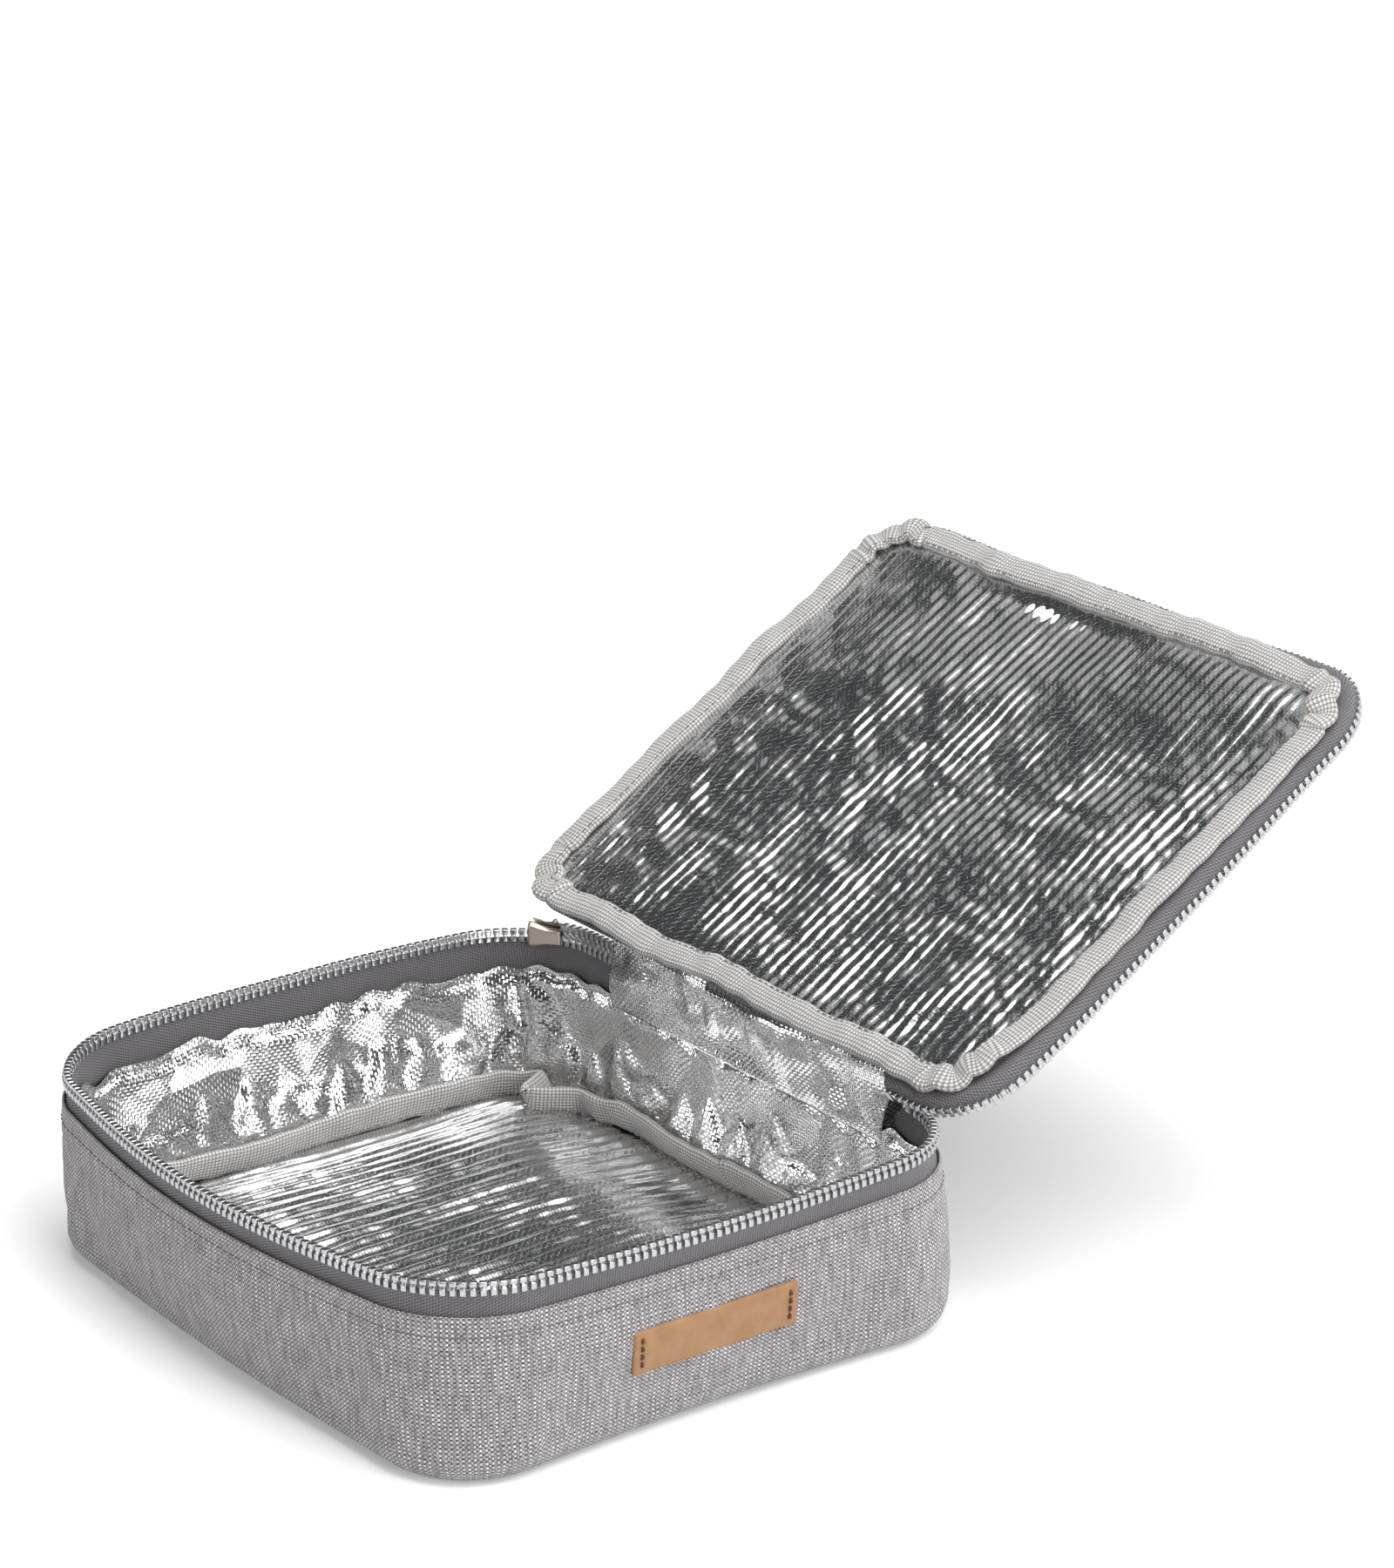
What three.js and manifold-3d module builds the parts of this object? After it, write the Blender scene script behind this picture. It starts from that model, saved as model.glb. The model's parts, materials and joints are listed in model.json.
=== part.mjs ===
// Insulated cooler bag: a low padded tray and a padded lid, lined with foil, joined along the back by a
// cloth hinge and closed by a metal zip that runs round the other three sides.
// Millimetres. +X runs along the hinge, +Y points to the hinge side, +Z is up, and the origin is the
// centre of the base's underside. The lid stands open, as far as its cloth hinge lets it rest.
import * as THREE from "three";
import { mergeVertices } from "three/addons/utils/BufferGeometryUtils.js";
import Module from "manifold-3d";

const wasm = await Module();
wasm.setup();

// Driving dimensions of the base. The chain line is the line through the middle of the base's zip teeth,
// seen from above, and each layer of the wall is a band at its own distance outside or inside that line.
const HALF_WIDTH = 111;
const HALF_DEPTH = 90;
const CORNER = 28;
const SIDE_BOW = 4;
const FRONT_BOW = 8;
const GAP = 0.3;

// How finely the round stretches are drawn: steps along a corner's arc and along a bowed side.
const CORNER_STEPS = 9;
const BOW_STEPS = 8;
const SHORTEST_STEP = 0.5;

// Heights.
const CLOTH = 0.8;
const WALL_LOW = CLOTH + GAP;
const WALL_TOP = 50.8;
const FOAM_TOP = 50.5;
const TAPE_LOW = 44.5;
const TEETH_LOW = 56.4;
const TEETH_TOP = 60;
const BOTTOM_FOAM_TOP = 4.6;
const FLOOR_TOP = 5.9;
const FLOOR_BINDING_TOP = 15.2;
const LINING_TOP = 48;
const TOPSTITCH_HEIGHT = 45;

// Layers of the wall: [inner, outer] distance from the chain line, outwards positive.
const TEETH = [-1.3, 1.3];
const TAPE = [-0.4, 0.4];
const WALL = [0.7, 0.7 + CLOTH];
const FOAM = [-3.5, -0.7];
const LINING = [-4.3, -3.8];
const FLOOR_BINDING = [-6.8, -4.6];
const ON_WALL = WALL[1] + GAP;

// A row of stitches is a thin band: its width along the cloth and its depth off it.
const THREAD = 0.5;
const THREAD_DEPTH = 0.4;
const FLOOR_STITCH_LIFT = 2;

// The zip: its two ends are on the back, with the cloth hinge between them.
const ZIP_START_X = -66;
const ZIP_END_X = 80;
const MESHED_HEIGHT = 3.3;
const MESHED_TOP = TEETH_TOP + GAP + MESHED_HEIGHT;
const STOP_LENGTH = 2.4;
const STOP_HALF_WIDTH = 1.4;

// Leather label on the +X side.
const LABEL = { from: -32.5, to: 23.5, low: 21, high: 35.2, thickness: 1.5 };
const LABEL_MARGIN = { end: 2.5, edge: 2 };
const LABEL_THREAD = 0.8;

// Lid, in its own frame: x as in the base, u away from the hinge line, n out of its lined face.
const HINGE = new THREE.Vector3(0, 87, 69);
const LID_OPEN = THREE.MathUtils.degToRad(31.6);
const LID_HALF_WIDTH = 112;
const LID_NEAR = 6;
const LID_FAR = 178;
const LID_CORNER = 26;
const LID_BOW = 2;
const LID_THICKNESS = 5.2;
const BINDING_WIDTH = 9;
const BINDING_HEIGHT = 2;
const BINDING_MARGIN = 1;
const LID_CHAIN = 2;
const LID_TEETH_TOP = -3.2;
const LID_TEETH_HEIGHT = 3.6;
const LID_ZIP_LEFT_END = 9;
const LID_ZIP_END_X = 76;

// Slider: its middle stands at this angle round the back left corner, from the left side to the back, and
// the meshed teeth end just behind it. Its plates stand on either side of the zip, with flanges that reach
// in over and under the teeth, and the post that parts the two rows is in its leading half.
const SLIDER_ANGLE = THREE.MathUtils.degToRad(58);
const SLIDER_TAIL = THREE.MathUtils.degToRad(13);
const SLIDER = { halfLength: 5.5, low: 55.4, top: 64.8, flange: 0.7 };
const INNER_PLATE = [-3.4, -2.2];
const OUTER_PLATE = [1.7, 2.9];
const FLANGE_REACH = { inner: -1.3, outer: 0.8, lap: 0.1 };
const POST = { along: [2.6, 5], height: [60.4, 63.4] };

// The crown on the outer plate, the ring that hangs from its bar and the tab that hangs on the ring.
const BAR_HEIGHT = 60.1;
const BAR_DISTANCE = 5.6;
const CROWN_WIRE = 0.8;
const CROWN_HALF_WIDTH = 3.8;
const RING = { radius: 1.9, wire: 0.45, drop: 0.78 };
const TAB = { halfWidth: 3.8, neck: 2.4, top: -1, neckLow: -4.5, shoulder: -8, low: -23, thickness: 1 };
const EYE = { halfWidth: 1.6, top: -2, low: -4.2 };

const MELANGE = { color: 0x9c989a, roughness: 0.9, metalness: 0 };
const FOAM_GREY = { color: 0xd8d8d6, roughness: 0.95, metalness: 0 };
const FOIL = { color: 0xc9cccf, roughness: 0.22, metalness: 1 };
const BINDING_GREY = { color: 0xb9b5b0, roughness: 0.85, metalness: 0 };
const TAPE_GREY = { color: 0x6b686c, roughness: 0.9, metalness: 0 };
const NICKEL = { color: 0xa8a9ab, roughness: 0.3, metalness: 1 };
const CHAMPAGNE = { color: 0xb5a894, roughness: 0.32, metalness: 1 };
const LEATHER = { color: 0xb07a3e, roughness: 0.6, metalness: 0 };
const DARK_THREAD = { color: 0x4a2a18, roughness: 0.9, metalness: 0 };
const GREY_THREAD = { color: 0x77757a, roughness: 0.9, metalness: 0 };

// ---- Outlines ----

// The long arc that a bowed side of half length `half` makes, tangent to the corner arcs at both ends.
// `turn` is the angle by which each corner arc stops short of a quarter turn.
function sideArc(bow, half, corner) {
  if (bow === 0) return { turn: 0, radius: 0 };
  const reach = (bow ** 2 + half ** 2) / (2 * bow);
  return { turn: Math.asin(half / reach), radius: reach + corner };
}

function arcPoints(x, y, radius, from, to, steps) {
  return new THREE.ArcCurve(x, y, radius, from, to, false).getPoints(steps);
}

// Counter-clockwise outline of a rounded rectangle with bowed sides, from the low edge's right end.
function outline({ halfWidth, low, high, corner, bowSide, bowLow, bowHigh }) {
  const cornerX = halfWidth - corner;
  const middle = (low + high) / 2;
  const side = sideArc(bowSide, (high - low) / 2 - corner, corner);
  const lowEdge = sideArc(bowLow, cornerX, corner);
  const highEdge = sideArc(bowHigh, cornerX, corner);
  const quarter = Math.PI / 2;
  const points = [];
  const add = (...arc) => points.push(...arcPoints(...arc));
  const addSide = (arc, x, y, facing) => {
    if (arc.radius) add(x, y, arc.radius, facing - arc.turn, facing + arc.turn, BOW_STEPS);
  };
  add(cornerX, low + corner, corner, -quarter + lowEdge.turn, -side.turn, CORNER_STEPS);
  addSide(side, halfWidth + bowSide - side.radius, middle, 0);
  add(cornerX, high - corner, corner, side.turn, quarter - highEdge.turn, CORNER_STEPS);
  addSide(highEdge, 0, high + bowHigh - highEdge.radius, quarter);
  add(-cornerX, high - corner, corner, quarter + highEdge.turn, 2 * quarter - side.turn, CORNER_STEPS);
  addSide(side, -(halfWidth + bowSide - side.radius), middle, 2 * quarter);
  add(-cornerX, low + corner, corner, 2 * quarter + side.turn, 3 * quarter - lowEdge.turn, CORNER_STEPS);
  addSide(lowEdge, 0, low - bowLow + lowEdge.radius, 3 * quarter);
  return points.filter((p, i) => p.distanceTo(points[(i + 1) % points.length]) > 1e-3);
}

// The stretch of an outline that runs counter-clockwise from near `start` to near `end`.
function run(points, start, end) {
  const nearest = (target) =>
    points.reduce((best, p, i) => (p.distanceTo(target) < points[best].distanceTo(target) ? i : best), 0);
  const last = nearest(end);
  const stretch = [start];
  for (let i = nearest(start); i !== last; i = (i + 1) % points.length) stretch.push(points[i]);
  stretch.push(points[last], end);
  return stretch.filter((p, i) => i === 0 || p.distanceTo(stretch[i - 1]) > SHORTEST_STEP);
}

// The same points moved outwards, which is to the right of the direction of travel.
function offset(points, distance, closed) {
  const count = points.length;
  return points.map((p, i) => {
    const before = closed ? points[(i + count - 1) % count] : points[Math.max(i - 1, 0)];
    const after = closed ? points[(i + 1) % count] : points[Math.min(i + 1, count - 1)];
    const into = p.clone().sub(before).normalize();
    const out = after.clone().sub(p).normalize();
    const travel = into.add(out).normalize();
    return new THREE.Vector2(p.x + travel.y * distance, p.y - travel.x * distance);
  });
}

// ---- Solids ----

function extrude(shape, low, high) {
  const settings = { depth: high - low, bevelEnabled: false, curveSegments: 12 };
  return new THREE.ExtrudeGeometry(shape, settings).translate(0, 0, low);
}

// A closed band between two distances from a closed outline.
function ring(points, [inner, outer], low, high) {
  const shape = new THREE.Shape(offset(points, outer, true));
  shape.holes.push(new THREE.Path(offset(points, inner, true)));
  return extrude(shape, low, high);
}

// A band along an open stretch of an outline.
function strip(points, [inner, outer], low, high) {
  const sides = [...offset(points, outer, false), ...offset(points, inner, false).reverse()];
  return extrude(new THREE.Shape(sides), low, high);
}

function slab(points, grow, low, high) {
  return extrude(new THREE.Shape(offset(points, grow, true)), low, high);
}

function box([x0, x1], [y0, y1], [z0, z1]) {
  const geometry = new THREE.BoxGeometry(x1 - x0, y1 - y0, z1 - z0);
  return geometry.translate((x0 + x1) / 2, (y0 + y1) / 2, (z0 + z1) / 2);
}

// A sheet seen from the side: [y, z] corners, drawn out along X.
function sheetAlongX(corners, fromX, toX) {
  const shape = new THREE.Shape(corners.map(([y, z]) => new THREE.Vector2(y, z)));
  return extrude(shape, fromX, toX).rotateZ(Math.PI / 2).rotateY(Math.PI / 2);
}

function toSolid(geometry) {
  const bare = geometry.clone();
  bare.deleteAttribute("normal");
  bare.deleteAttribute("uv");
  const merged = mergeVertices(bare, 1e-4);
  const vertProperties = merged.attributes.position.array;
  const triVerts = new Uint32Array(merged.index.array);
  return new wasm.Manifold(new wasm.Mesh({ numProp: 3, vertProperties, triVerts }));
}

function toGeometry(solid) {
  const { vertProperties, triVerts } = solid.getMesh();
  const geometry = new THREE.BufferGeometry();
  geometry.setAttribute("position", new THREE.BufferAttribute(vertProperties, 3));
  geometry.setIndex(new THREE.BufferAttribute(triVerts, 1));
  return geometry;
}

function join(geometries) {
  return toGeometry(geometries.map(toSolid).reduce((whole, piece) => whole.add(piece)));
}

function cut(geometry, tool) {
  return toGeometry(toSolid(geometry).subtract(toSolid(tool)));
}

function add(parent, name, geometry, finish) {
  const mesh = new THREE.Mesh(geometry, new THREE.MeshStandardMaterial(finish));
  mesh.name = name;
  parent.add(mesh);
}

// ---- Base ----

function addShell(bag, chain) {
  add(bag, "base_outer_bottom", slab(chain, WALL[1], 0, CLOTH), MELANGE);
  add(bag, "base_outer_wall", ring(chain, WALL, WALL_LOW, WALL_TOP), MELANGE);
  add(bag, "base_wall_foam", ring(chain, FOAM, WALL_LOW, FOAM_TOP), FOAM_GREY);
  add(bag, "base_bottom_foam", slab(chain, FOAM[0] - GAP, WALL_LOW, BOTTOM_FOAM_TOP), FOAM_GREY);
  add(bag, "base_wall_lining", ring(chain, LINING, BOTTOM_FOAM_TOP + GAP, LINING_TOP), FOIL);
  const stitch = [ON_WALL, ON_WALL + THREAD_DEPTH];
  add(bag, "base_rim_topstitch", ring(chain, stitch, TOPSTITCH_HEIGHT, TOPSTITCH_HEIGHT + THREAD), GREY_THREAD);
}

function addFloor(bag, chain) {
  add(bag, "base_floor_lining", slab(chain, LINING[0] - GAP, BOTTOM_FOAM_TOP + GAP, FLOOR_TOP), FOIL);
  add(bag, "base_floor_binding", ring(chain, FLOOR_BINDING, FLOOR_TOP + GAP, FLOOR_BINDING_TOP), BINDING_GREY);
  const stitch = [FLOOR_BINDING[0] - GAP - THREAD_DEPTH, FLOOR_BINDING[0] - GAP];
  const low = FLOOR_TOP + FLOOR_STITCH_LIFT;
  add(bag, "floor_binding_stitch", ring(chain, stitch, low, low + THREAD), GREY_THREAD);
}

function addBaseZip(bag, chain) {
  const start = new THREE.Vector2(ZIP_START_X, HALF_DEPTH);
  const end = new THREE.Vector2(ZIP_END_X, HALF_DEPTH);
  const path = run(chain, start, end);
  add(bag, "base_zip_tape", strip(path, TAPE, TAPE_LOW, TEETH_LOW - GAP), TAPE_GREY);
  add(bag, "base_zip_teeth", strip(path, TEETH, TEETH_LOW, TEETH_TOP), NICKEL);
  // Beyond the slider the lid's first teeth are already locked into the base's, up to the bottom stop.
  const tail = SLIDER_ANGLE + SLIDER_TAIL;
  const cornerX = HALF_WIDTH - CORNER;
  const cornerY = HALF_DEPTH - CORNER;
  const behindSlider = new THREE.Vector2(
    -cornerX - CORNER * Math.cos(tail),
    cornerY + CORNER * Math.sin(tail),
  );
  const meshed = strip(run(chain, start, behindSlider), TEETH, TEETH_TOP + GAP, MESHED_TOP);
  add(bag, "zip_meshed_teeth", meshed, NICKEL);
  const across = [HALF_DEPTH - STOP_HALF_WIDTH, HALF_DEPTH + STOP_HALF_WIDTH];
  const bottomStop = [ZIP_START_X + GAP, ZIP_START_X + GAP + STOP_LENGTH];
  add(bag, "zip_bottom_stop", box(bottomStop, across, [TEETH_LOW, MESHED_TOP]), NICKEL);
  const topStop = [ZIP_END_X - GAP - STOP_LENGTH, ZIP_END_X - GAP];
  add(bag, "base_zip_top_stop", box(topStop, across, [TEETH_LOW, TEETH_TOP]), NICKEL);
}

// Two cloth strips, melange outside and foil inside, lead up from the back wall, fold at the hinge line
// and end at the lid's near edge.
function addClothHinge(bag) {
  const x = [ZIP_START_X + 3 * GAP + STOP_LENGTH, LID_ZIP_END_X - 2 * GAP - STOP_LENGTH];
  const { y, z } = HINGE;
  const outside = [
    [HALF_DEPTH + WALL[0], WALL_TOP + 1],
    [HALF_DEPTH + WALL[1], WALL_TOP + 1],
    [y + 1.6, z - 2.8],
    [y + 7.1, z - 2],
    [y + 7, z - 1.2],
    [y + 1.2, z - 1.8],
    [y + 0.5, z - 2.8],
  ];
  const inside = [
    [HALF_DEPTH + LINING[0], LINING_TOP + GAP],
    [HALF_DEPTH + LINING[1], LINING_TOP + GAP],
    [y - 1.6, z - 1.5],
    [y + 0.3, z - 0.2],
    [y + 4.5, z + 2.2],
    [y + 4.2, z + 2.7],
    [y - 0.1, z + 0.4],
    [y - 2.1, z - 1.2],
  ];
  add(bag, "hinge_outer_fabric", sheetAlongX(outside, ...x), MELANGE);
  add(bag, "hinge_lining", sheetAlongX(inside, ...x), FOIL);
}

// The label and its two columns of stitches follow the bowed +X wall.
function addLabel(bag) {
  const { from, to, low, high, thickness } = LABEL;
  const face = ON_WALL + thickness + GAP;
  const radius = sideArc(SIDE_BOW, HALF_DEPTH - CORNER, CORNER).radius;
  const centreX = HALF_WIDTH + SIDE_BOW - radius;
  const wallArc = (y0, y1, steps) =>
    arcPoints(centreX, 0, radius, Math.asin(y0 / radius), Math.asin(y1 / radius), steps);
  const panel = strip(wallArc(from, to, BOW_STEPS), [ON_WALL, ON_WALL + thickness], low, high);
  add(bag, "leather_label", panel, LEATHER);
  const height = [low + LABEL_MARGIN.edge, high - LABEL_MARGIN.edge];
  const column = (y) => strip(wallArc(y, y + LABEL_THREAD, 1), [face, face + THREAD_DEPTH], ...height);
  add(bag, "label_thread_front", column(from + LABEL_MARGIN.end), DARK_THREAD);
  add(bag, "label_thread_back", column(to - LABEL_MARGIN.end - LABEL_THREAD), DARK_THREAD);
}

// ---- Slider and puller ----

// Local x is the distance from the corner's axis, local y runs round the corner away from the zip's start.
function sliderBody() {
  const length = [-SLIDER.halfLength, SLIDER.halfLength];
  const across = ([from, to]) => [CORNER + from, CORNER + to];
  const innerFlange = across([INNER_PLATE[1] - FLANGE_REACH.lap, FLANGE_REACH.inner]);
  const outerFlange = across([FLANGE_REACH.outer, OUTER_PLATE[0] + FLANGE_REACH.lap]);
  const height = [SLIDER.low, SLIDER.top];
  const lowFlange = [SLIDER.low, TEETH_LOW - GAP];
  const topFlange = [SLIDER.top - SLIDER.flange, SLIDER.top];
  return join([
    box(across(INNER_PLATE), length, height),
    box(across(OUTER_PLATE), length, height),
    box(innerFlange, length, lowFlange),
    box(outerFlange, length, lowFlange),
    box(innerFlange, length, topFlange),
    box(outerFlange, length, topFlange),
    box([innerFlange[0], outerFlange[1]], POST.along, POST.height),
  ]);
}

function sliderCrown() {
  const foot = CORNER + OUTER_PLATE[1] + GAP;
  const bar = CORNER + BAR_DISTANCE;
  const half = CROWN_WIRE / 2;
  const height = [BAR_HEIGHT - half, BAR_HEIGHT + half];
  const inside = CROWN_HALF_WIDTH - CROWN_WIRE;
  return join([
    box([foot, bar + half], [-CROWN_HALF_WIDTH, -inside], height),
    box([foot, bar + half], [inside, CROWN_HALF_WIDTH], height),
    box([bar - half, bar + half], [-CROWN_HALF_WIDTH, CROWN_HALF_WIDTH], height),
  ]);
}

// A flat tab with a round end and an eye at its top, drawn upright in (x, y) about the crown's bar.
function pullerTab() {
  const { halfWidth, neck, top, neckLow, shoulder, low, thickness } = TAB;
  const tab = new THREE.Shape();
  tab.moveTo(-neck, top).lineTo(-neck, neckLow).lineTo(-halfWidth, shoulder).lineTo(-halfWidth, low);
  tab.absarc(0, low, halfWidth, Math.PI, 2 * Math.PI, false);
  tab.lineTo(halfWidth, shoulder).lineTo(neck, neckLow).lineTo(neck, top);
  const eye = new THREE.Path();
  eye.moveTo(-EYE.halfWidth, EYE.top).lineTo(-EYE.halfWidth, EYE.low);
  eye.lineTo(EYE.halfWidth, EYE.low).lineTo(EYE.halfWidth, EYE.top);
  tab.holes.push(eye);
  const flat = extrude(tab, -thickness / 2, thickness / 2);
  return flat.rotateX(Math.PI / 2).rotateZ(Math.PI / 2).translate(CORNER + BAR_DISTANCE, 0, BAR_HEIGHT);
}

function pullerRing() {
  const torus = new THREE.TorusGeometry(RING.radius, RING.wire, 8, 16);
  return torus.rotateX(Math.PI / 2).translate(CORNER + BAR_DISTANCE, 0, BAR_HEIGHT - RING.drop);
}

function addSlider(bag) {
  const corner = new THREE.Group();
  corner.position.set(-(HALF_WIDTH - CORNER), HALF_DEPTH - CORNER, 0);
  corner.rotation.z = Math.PI - SLIDER_ANGLE;
  bag.add(corner);
  add(corner, "zip_slider_body", sliderBody(), CHAMPAGNE);
  add(corner, "slider_crown", sliderCrown(), CHAMPAGNE);
  add(corner, "puller_ring", pullerRing(), CHAMPAGNE);
  add(corner, "puller_tab", pullerTab(), CHAMPAGNE);
}

// ---- Lid ----

// The outer cloth wraps the foam's edge, so it is a shallow tray that opens on the lined side.
function lidTray(edge) {
  const whole = slab(edge, 0, -LID_THICKNESS, 0);
  return cut(whole, slab(edge, -CLOTH, -LID_THICKNESS + CLOTH, CLOTH));
}

function addLidPanel(lid, edge) {
  const inside = -CLOTH - GAP;
  add(lid, "lid_outer_panel", lidTray(edge), MELANGE);
  add(lid, "lid_foam", slab(edge, inside, -LID_THICKNESS + CLOTH + GAP, inside), FOAM_GREY);
  add(lid, "lid_lining", slab(edge, inside, -CLOTH, 0), FOIL);
  add(lid, "lid_binding", ring(edge, [-BINDING_WIDTH, 0], GAP, GAP + BINDING_HEIGHT), BINDING_GREY);
  const stitch = [-BINDING_WIDTH + BINDING_MARGIN, -BINDING_WIDTH + BINDING_MARGIN + THREAD];
  const low = 2 * GAP + BINDING_HEIGHT;
  add(lid, "lid_binding_stitch", ring(edge, stitch, low, low + THREAD_DEPTH), GREY_THREAD);
}

// While the lid is open its zip tape is folded back round the lid's edge, towards the outer cloth.
function addLidZip(lid, edge) {
  const chain = offset(edge, LID_CHAIN, true);
  const start = new THREE.Vector2(LID_ZIP_END_X, chain[0].y);
  const cornerX = LID_HALF_WIDTH - LID_CORNER;
  const cornerU = LID_NEAR + LID_CORNER;
  const radius = LID_CORNER + LID_CHAIN;
  const leftX = -cornerX - Math.sqrt(radius ** 2 - (cornerU - LID_ZIP_LEFT_END) ** 2);
  const path = run(chain, start, new THREE.Vector2(leftX, LID_ZIP_LEFT_END));
  const low = LID_TEETH_TOP - LID_TEETH_HEIGHT;
  add(lid, "lid_zip_teeth", strip(path, TEETH, low, LID_TEETH_TOP), NICKEL);
  add(lid, "lid_zip_tape", strip(path, TAPE, LID_TEETH_TOP + GAP, -GAP), TAPE_GREY);
  const x = [LID_ZIP_END_X - GAP - STOP_LENGTH, LID_ZIP_END_X - GAP];
  const across = [start.y - STOP_HALF_WIDTH, start.y + STOP_HALF_WIDTH];
  add(lid, "lid_zip_top_stop", box(x, across, [low, LID_TEETH_TOP]), NICKEL);
}

function addLid(bag) {
  const lid = new THREE.Group();
  lid.position.copy(HINGE);
  lid.rotation.x = LID_OPEN;
  bag.add(lid);
  const edge = outline({
    halfWidth: LID_HALF_WIDTH,
    low: LID_NEAR,
    high: LID_FAR,
    corner: LID_CORNER,
    bowSide: LID_BOW,
    bowLow: 0,
    bowHigh: 0,
  });
  addLidPanel(lid, edge);
  addLidZip(lid, edge);
}

function coolerBag() {
  const bag = new THREE.Group();
  const chain = outline({
    halfWidth: HALF_WIDTH,
    low: -HALF_DEPTH,
    high: HALF_DEPTH,
    corner: CORNER,
    bowSide: SIDE_BOW,
    bowLow: FRONT_BOW,
    bowHigh: 0,
  });
  addShell(bag, chain);
  addFloor(bag, chain);
  addBaseZip(bag, chain);
  addClothHinge(bag);
  addLabel(bag);
  addSlider(bag);
  addLid(bag);
  return bag;
}

export default coolerBag();
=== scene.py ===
"""Insulated cooler bag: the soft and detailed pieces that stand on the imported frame.

Lengths are in millimetres until a mesh is made, and each mesh is made in metres. The base stands on z = 0
with its hinge side towards +Y, and the lid's pieces are made in the lid's own directions and placed by them.
"""

import json
import math

import bmesh
import bpy
import numpy as np
from mathutils import Matrix, Vector


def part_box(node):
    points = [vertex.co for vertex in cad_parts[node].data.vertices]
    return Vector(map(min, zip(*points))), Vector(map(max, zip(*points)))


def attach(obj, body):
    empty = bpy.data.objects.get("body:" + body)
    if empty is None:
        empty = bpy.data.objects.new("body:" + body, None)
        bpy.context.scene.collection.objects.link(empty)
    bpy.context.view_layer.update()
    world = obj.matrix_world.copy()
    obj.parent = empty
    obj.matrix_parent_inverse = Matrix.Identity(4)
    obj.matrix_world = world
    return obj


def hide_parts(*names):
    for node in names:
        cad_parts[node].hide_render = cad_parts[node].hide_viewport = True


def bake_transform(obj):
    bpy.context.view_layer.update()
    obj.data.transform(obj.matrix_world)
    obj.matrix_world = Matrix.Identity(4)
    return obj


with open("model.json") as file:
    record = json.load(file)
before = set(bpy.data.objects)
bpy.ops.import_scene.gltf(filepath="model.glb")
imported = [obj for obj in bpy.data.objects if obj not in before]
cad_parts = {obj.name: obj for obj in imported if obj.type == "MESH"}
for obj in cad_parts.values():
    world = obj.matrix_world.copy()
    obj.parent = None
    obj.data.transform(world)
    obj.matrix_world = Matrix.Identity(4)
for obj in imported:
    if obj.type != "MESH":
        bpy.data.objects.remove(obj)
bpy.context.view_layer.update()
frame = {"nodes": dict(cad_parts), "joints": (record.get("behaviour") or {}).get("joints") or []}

MM = 0.001
QUARTER = math.pi / 2
JOINTS = {joint["name"]: joint for joint in frame["joints"]}


# ---- Sizes ----


def box_mm(node):
    """The lowest and highest corners of a CAD node, in millimetres."""
    low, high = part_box(node)
    return np.array(low) / MM, np.array(high) / MM


TEETH_BOX = box_mm("base_zip_teeth")
TEETH_LOW, TEETH_TOP = TEETH_BOX[0][2], TEETH_BOX[1][2]
RIM_HEIGHT = (TEETH_LOW + TEETH_TOP) / 2
HALF_DEPTH = TEETH_BOX[1][1] - 1.3
HALF_WIDTH = 110.0
CORNER = 28.0

WALL_TOP = 50.4
TAPE_LOW = 44.0
LINING_TOP = 47.0
TOPSTITCH = 44.6
BOTTOM_ROUNDING = 7.0
WALL_OUT = 1.5
WALL_BULGE = 0.8
CLOTH = 0.7
LID_CLOTH = 0.5
HINGE_CLOTH = 0.3
LEATHER = 1.3
FOAM_OUT = -0.6
FOAM_TOP = 42.0
FOAM_IN = -2.8
BOTTOM_FOAM = 2.6
LINING_OUT = -4.4
LINING_SLACK = 0.7
TOOTH_PITCH = 2.7
STOP_LENGTH = 2.4
STOP_WIDTH = 3.2
ZIP_POINTS = 1400
TAPE_TUCK = 10.0
TAPE_THICKNESS = 0.7

FLOOR_HEIGHT = 6.0
FLOOR_DOME = 5.5
FLOOR_RIB = 6.0
LID_RIB = 4.4
DEEP_RIBS_END = 152.0
RIB_FADE = 65.0
FLOOR_KINK = 0.105
STITCH_PITCH = 2.9

HINGE = np.array(JOINTS["lid_hinge"]["pos_m"]) / MM
LID_N = np.array(JOINTS["lid_zip_turn"]["axis"], float)
LID_X = np.array([1.0, 0.0, 0.0])
LID_U = np.cross(LID_N, LID_X)
LID_EDGE_LOW, LID_EDGE_HIGH = -1.5, 178.8
LID_HALF = (112.8, (LID_EDGE_HIGH - LID_EDGE_LOW) / 2)
LID_CENTRE = (-2.7, (LID_EDGE_HIGH + LID_EDGE_LOW) / 2)
LID_CORNER = 21.0
LID_THICKNESS = 6.4
LID_CHAIN = 2.4
WARP, WEFT = 0.76, 0.66
SCRIM = 1.1
SLIDER_LOW, SLIDER_HIGH = box_mm("zip_slider_body")
SLIDER_CENTRE = (SLIDER_LOW + SLIDER_HIGH) / 2
SLIDER_LENGTH = 11.0
BAR_HEIGHT = JOINTS["puller_swing"]["pos_m"][2] / MM
RING_WIRE = 0.45
CROWN_WIRE = 0.5
PULLER_DENT = 1.6
DENT_OVER_TAPE = 0.7
LID_TEETH_TOP = -3.6
PAD_INSET = 5.0
PAD_GAP = 1.5

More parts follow.
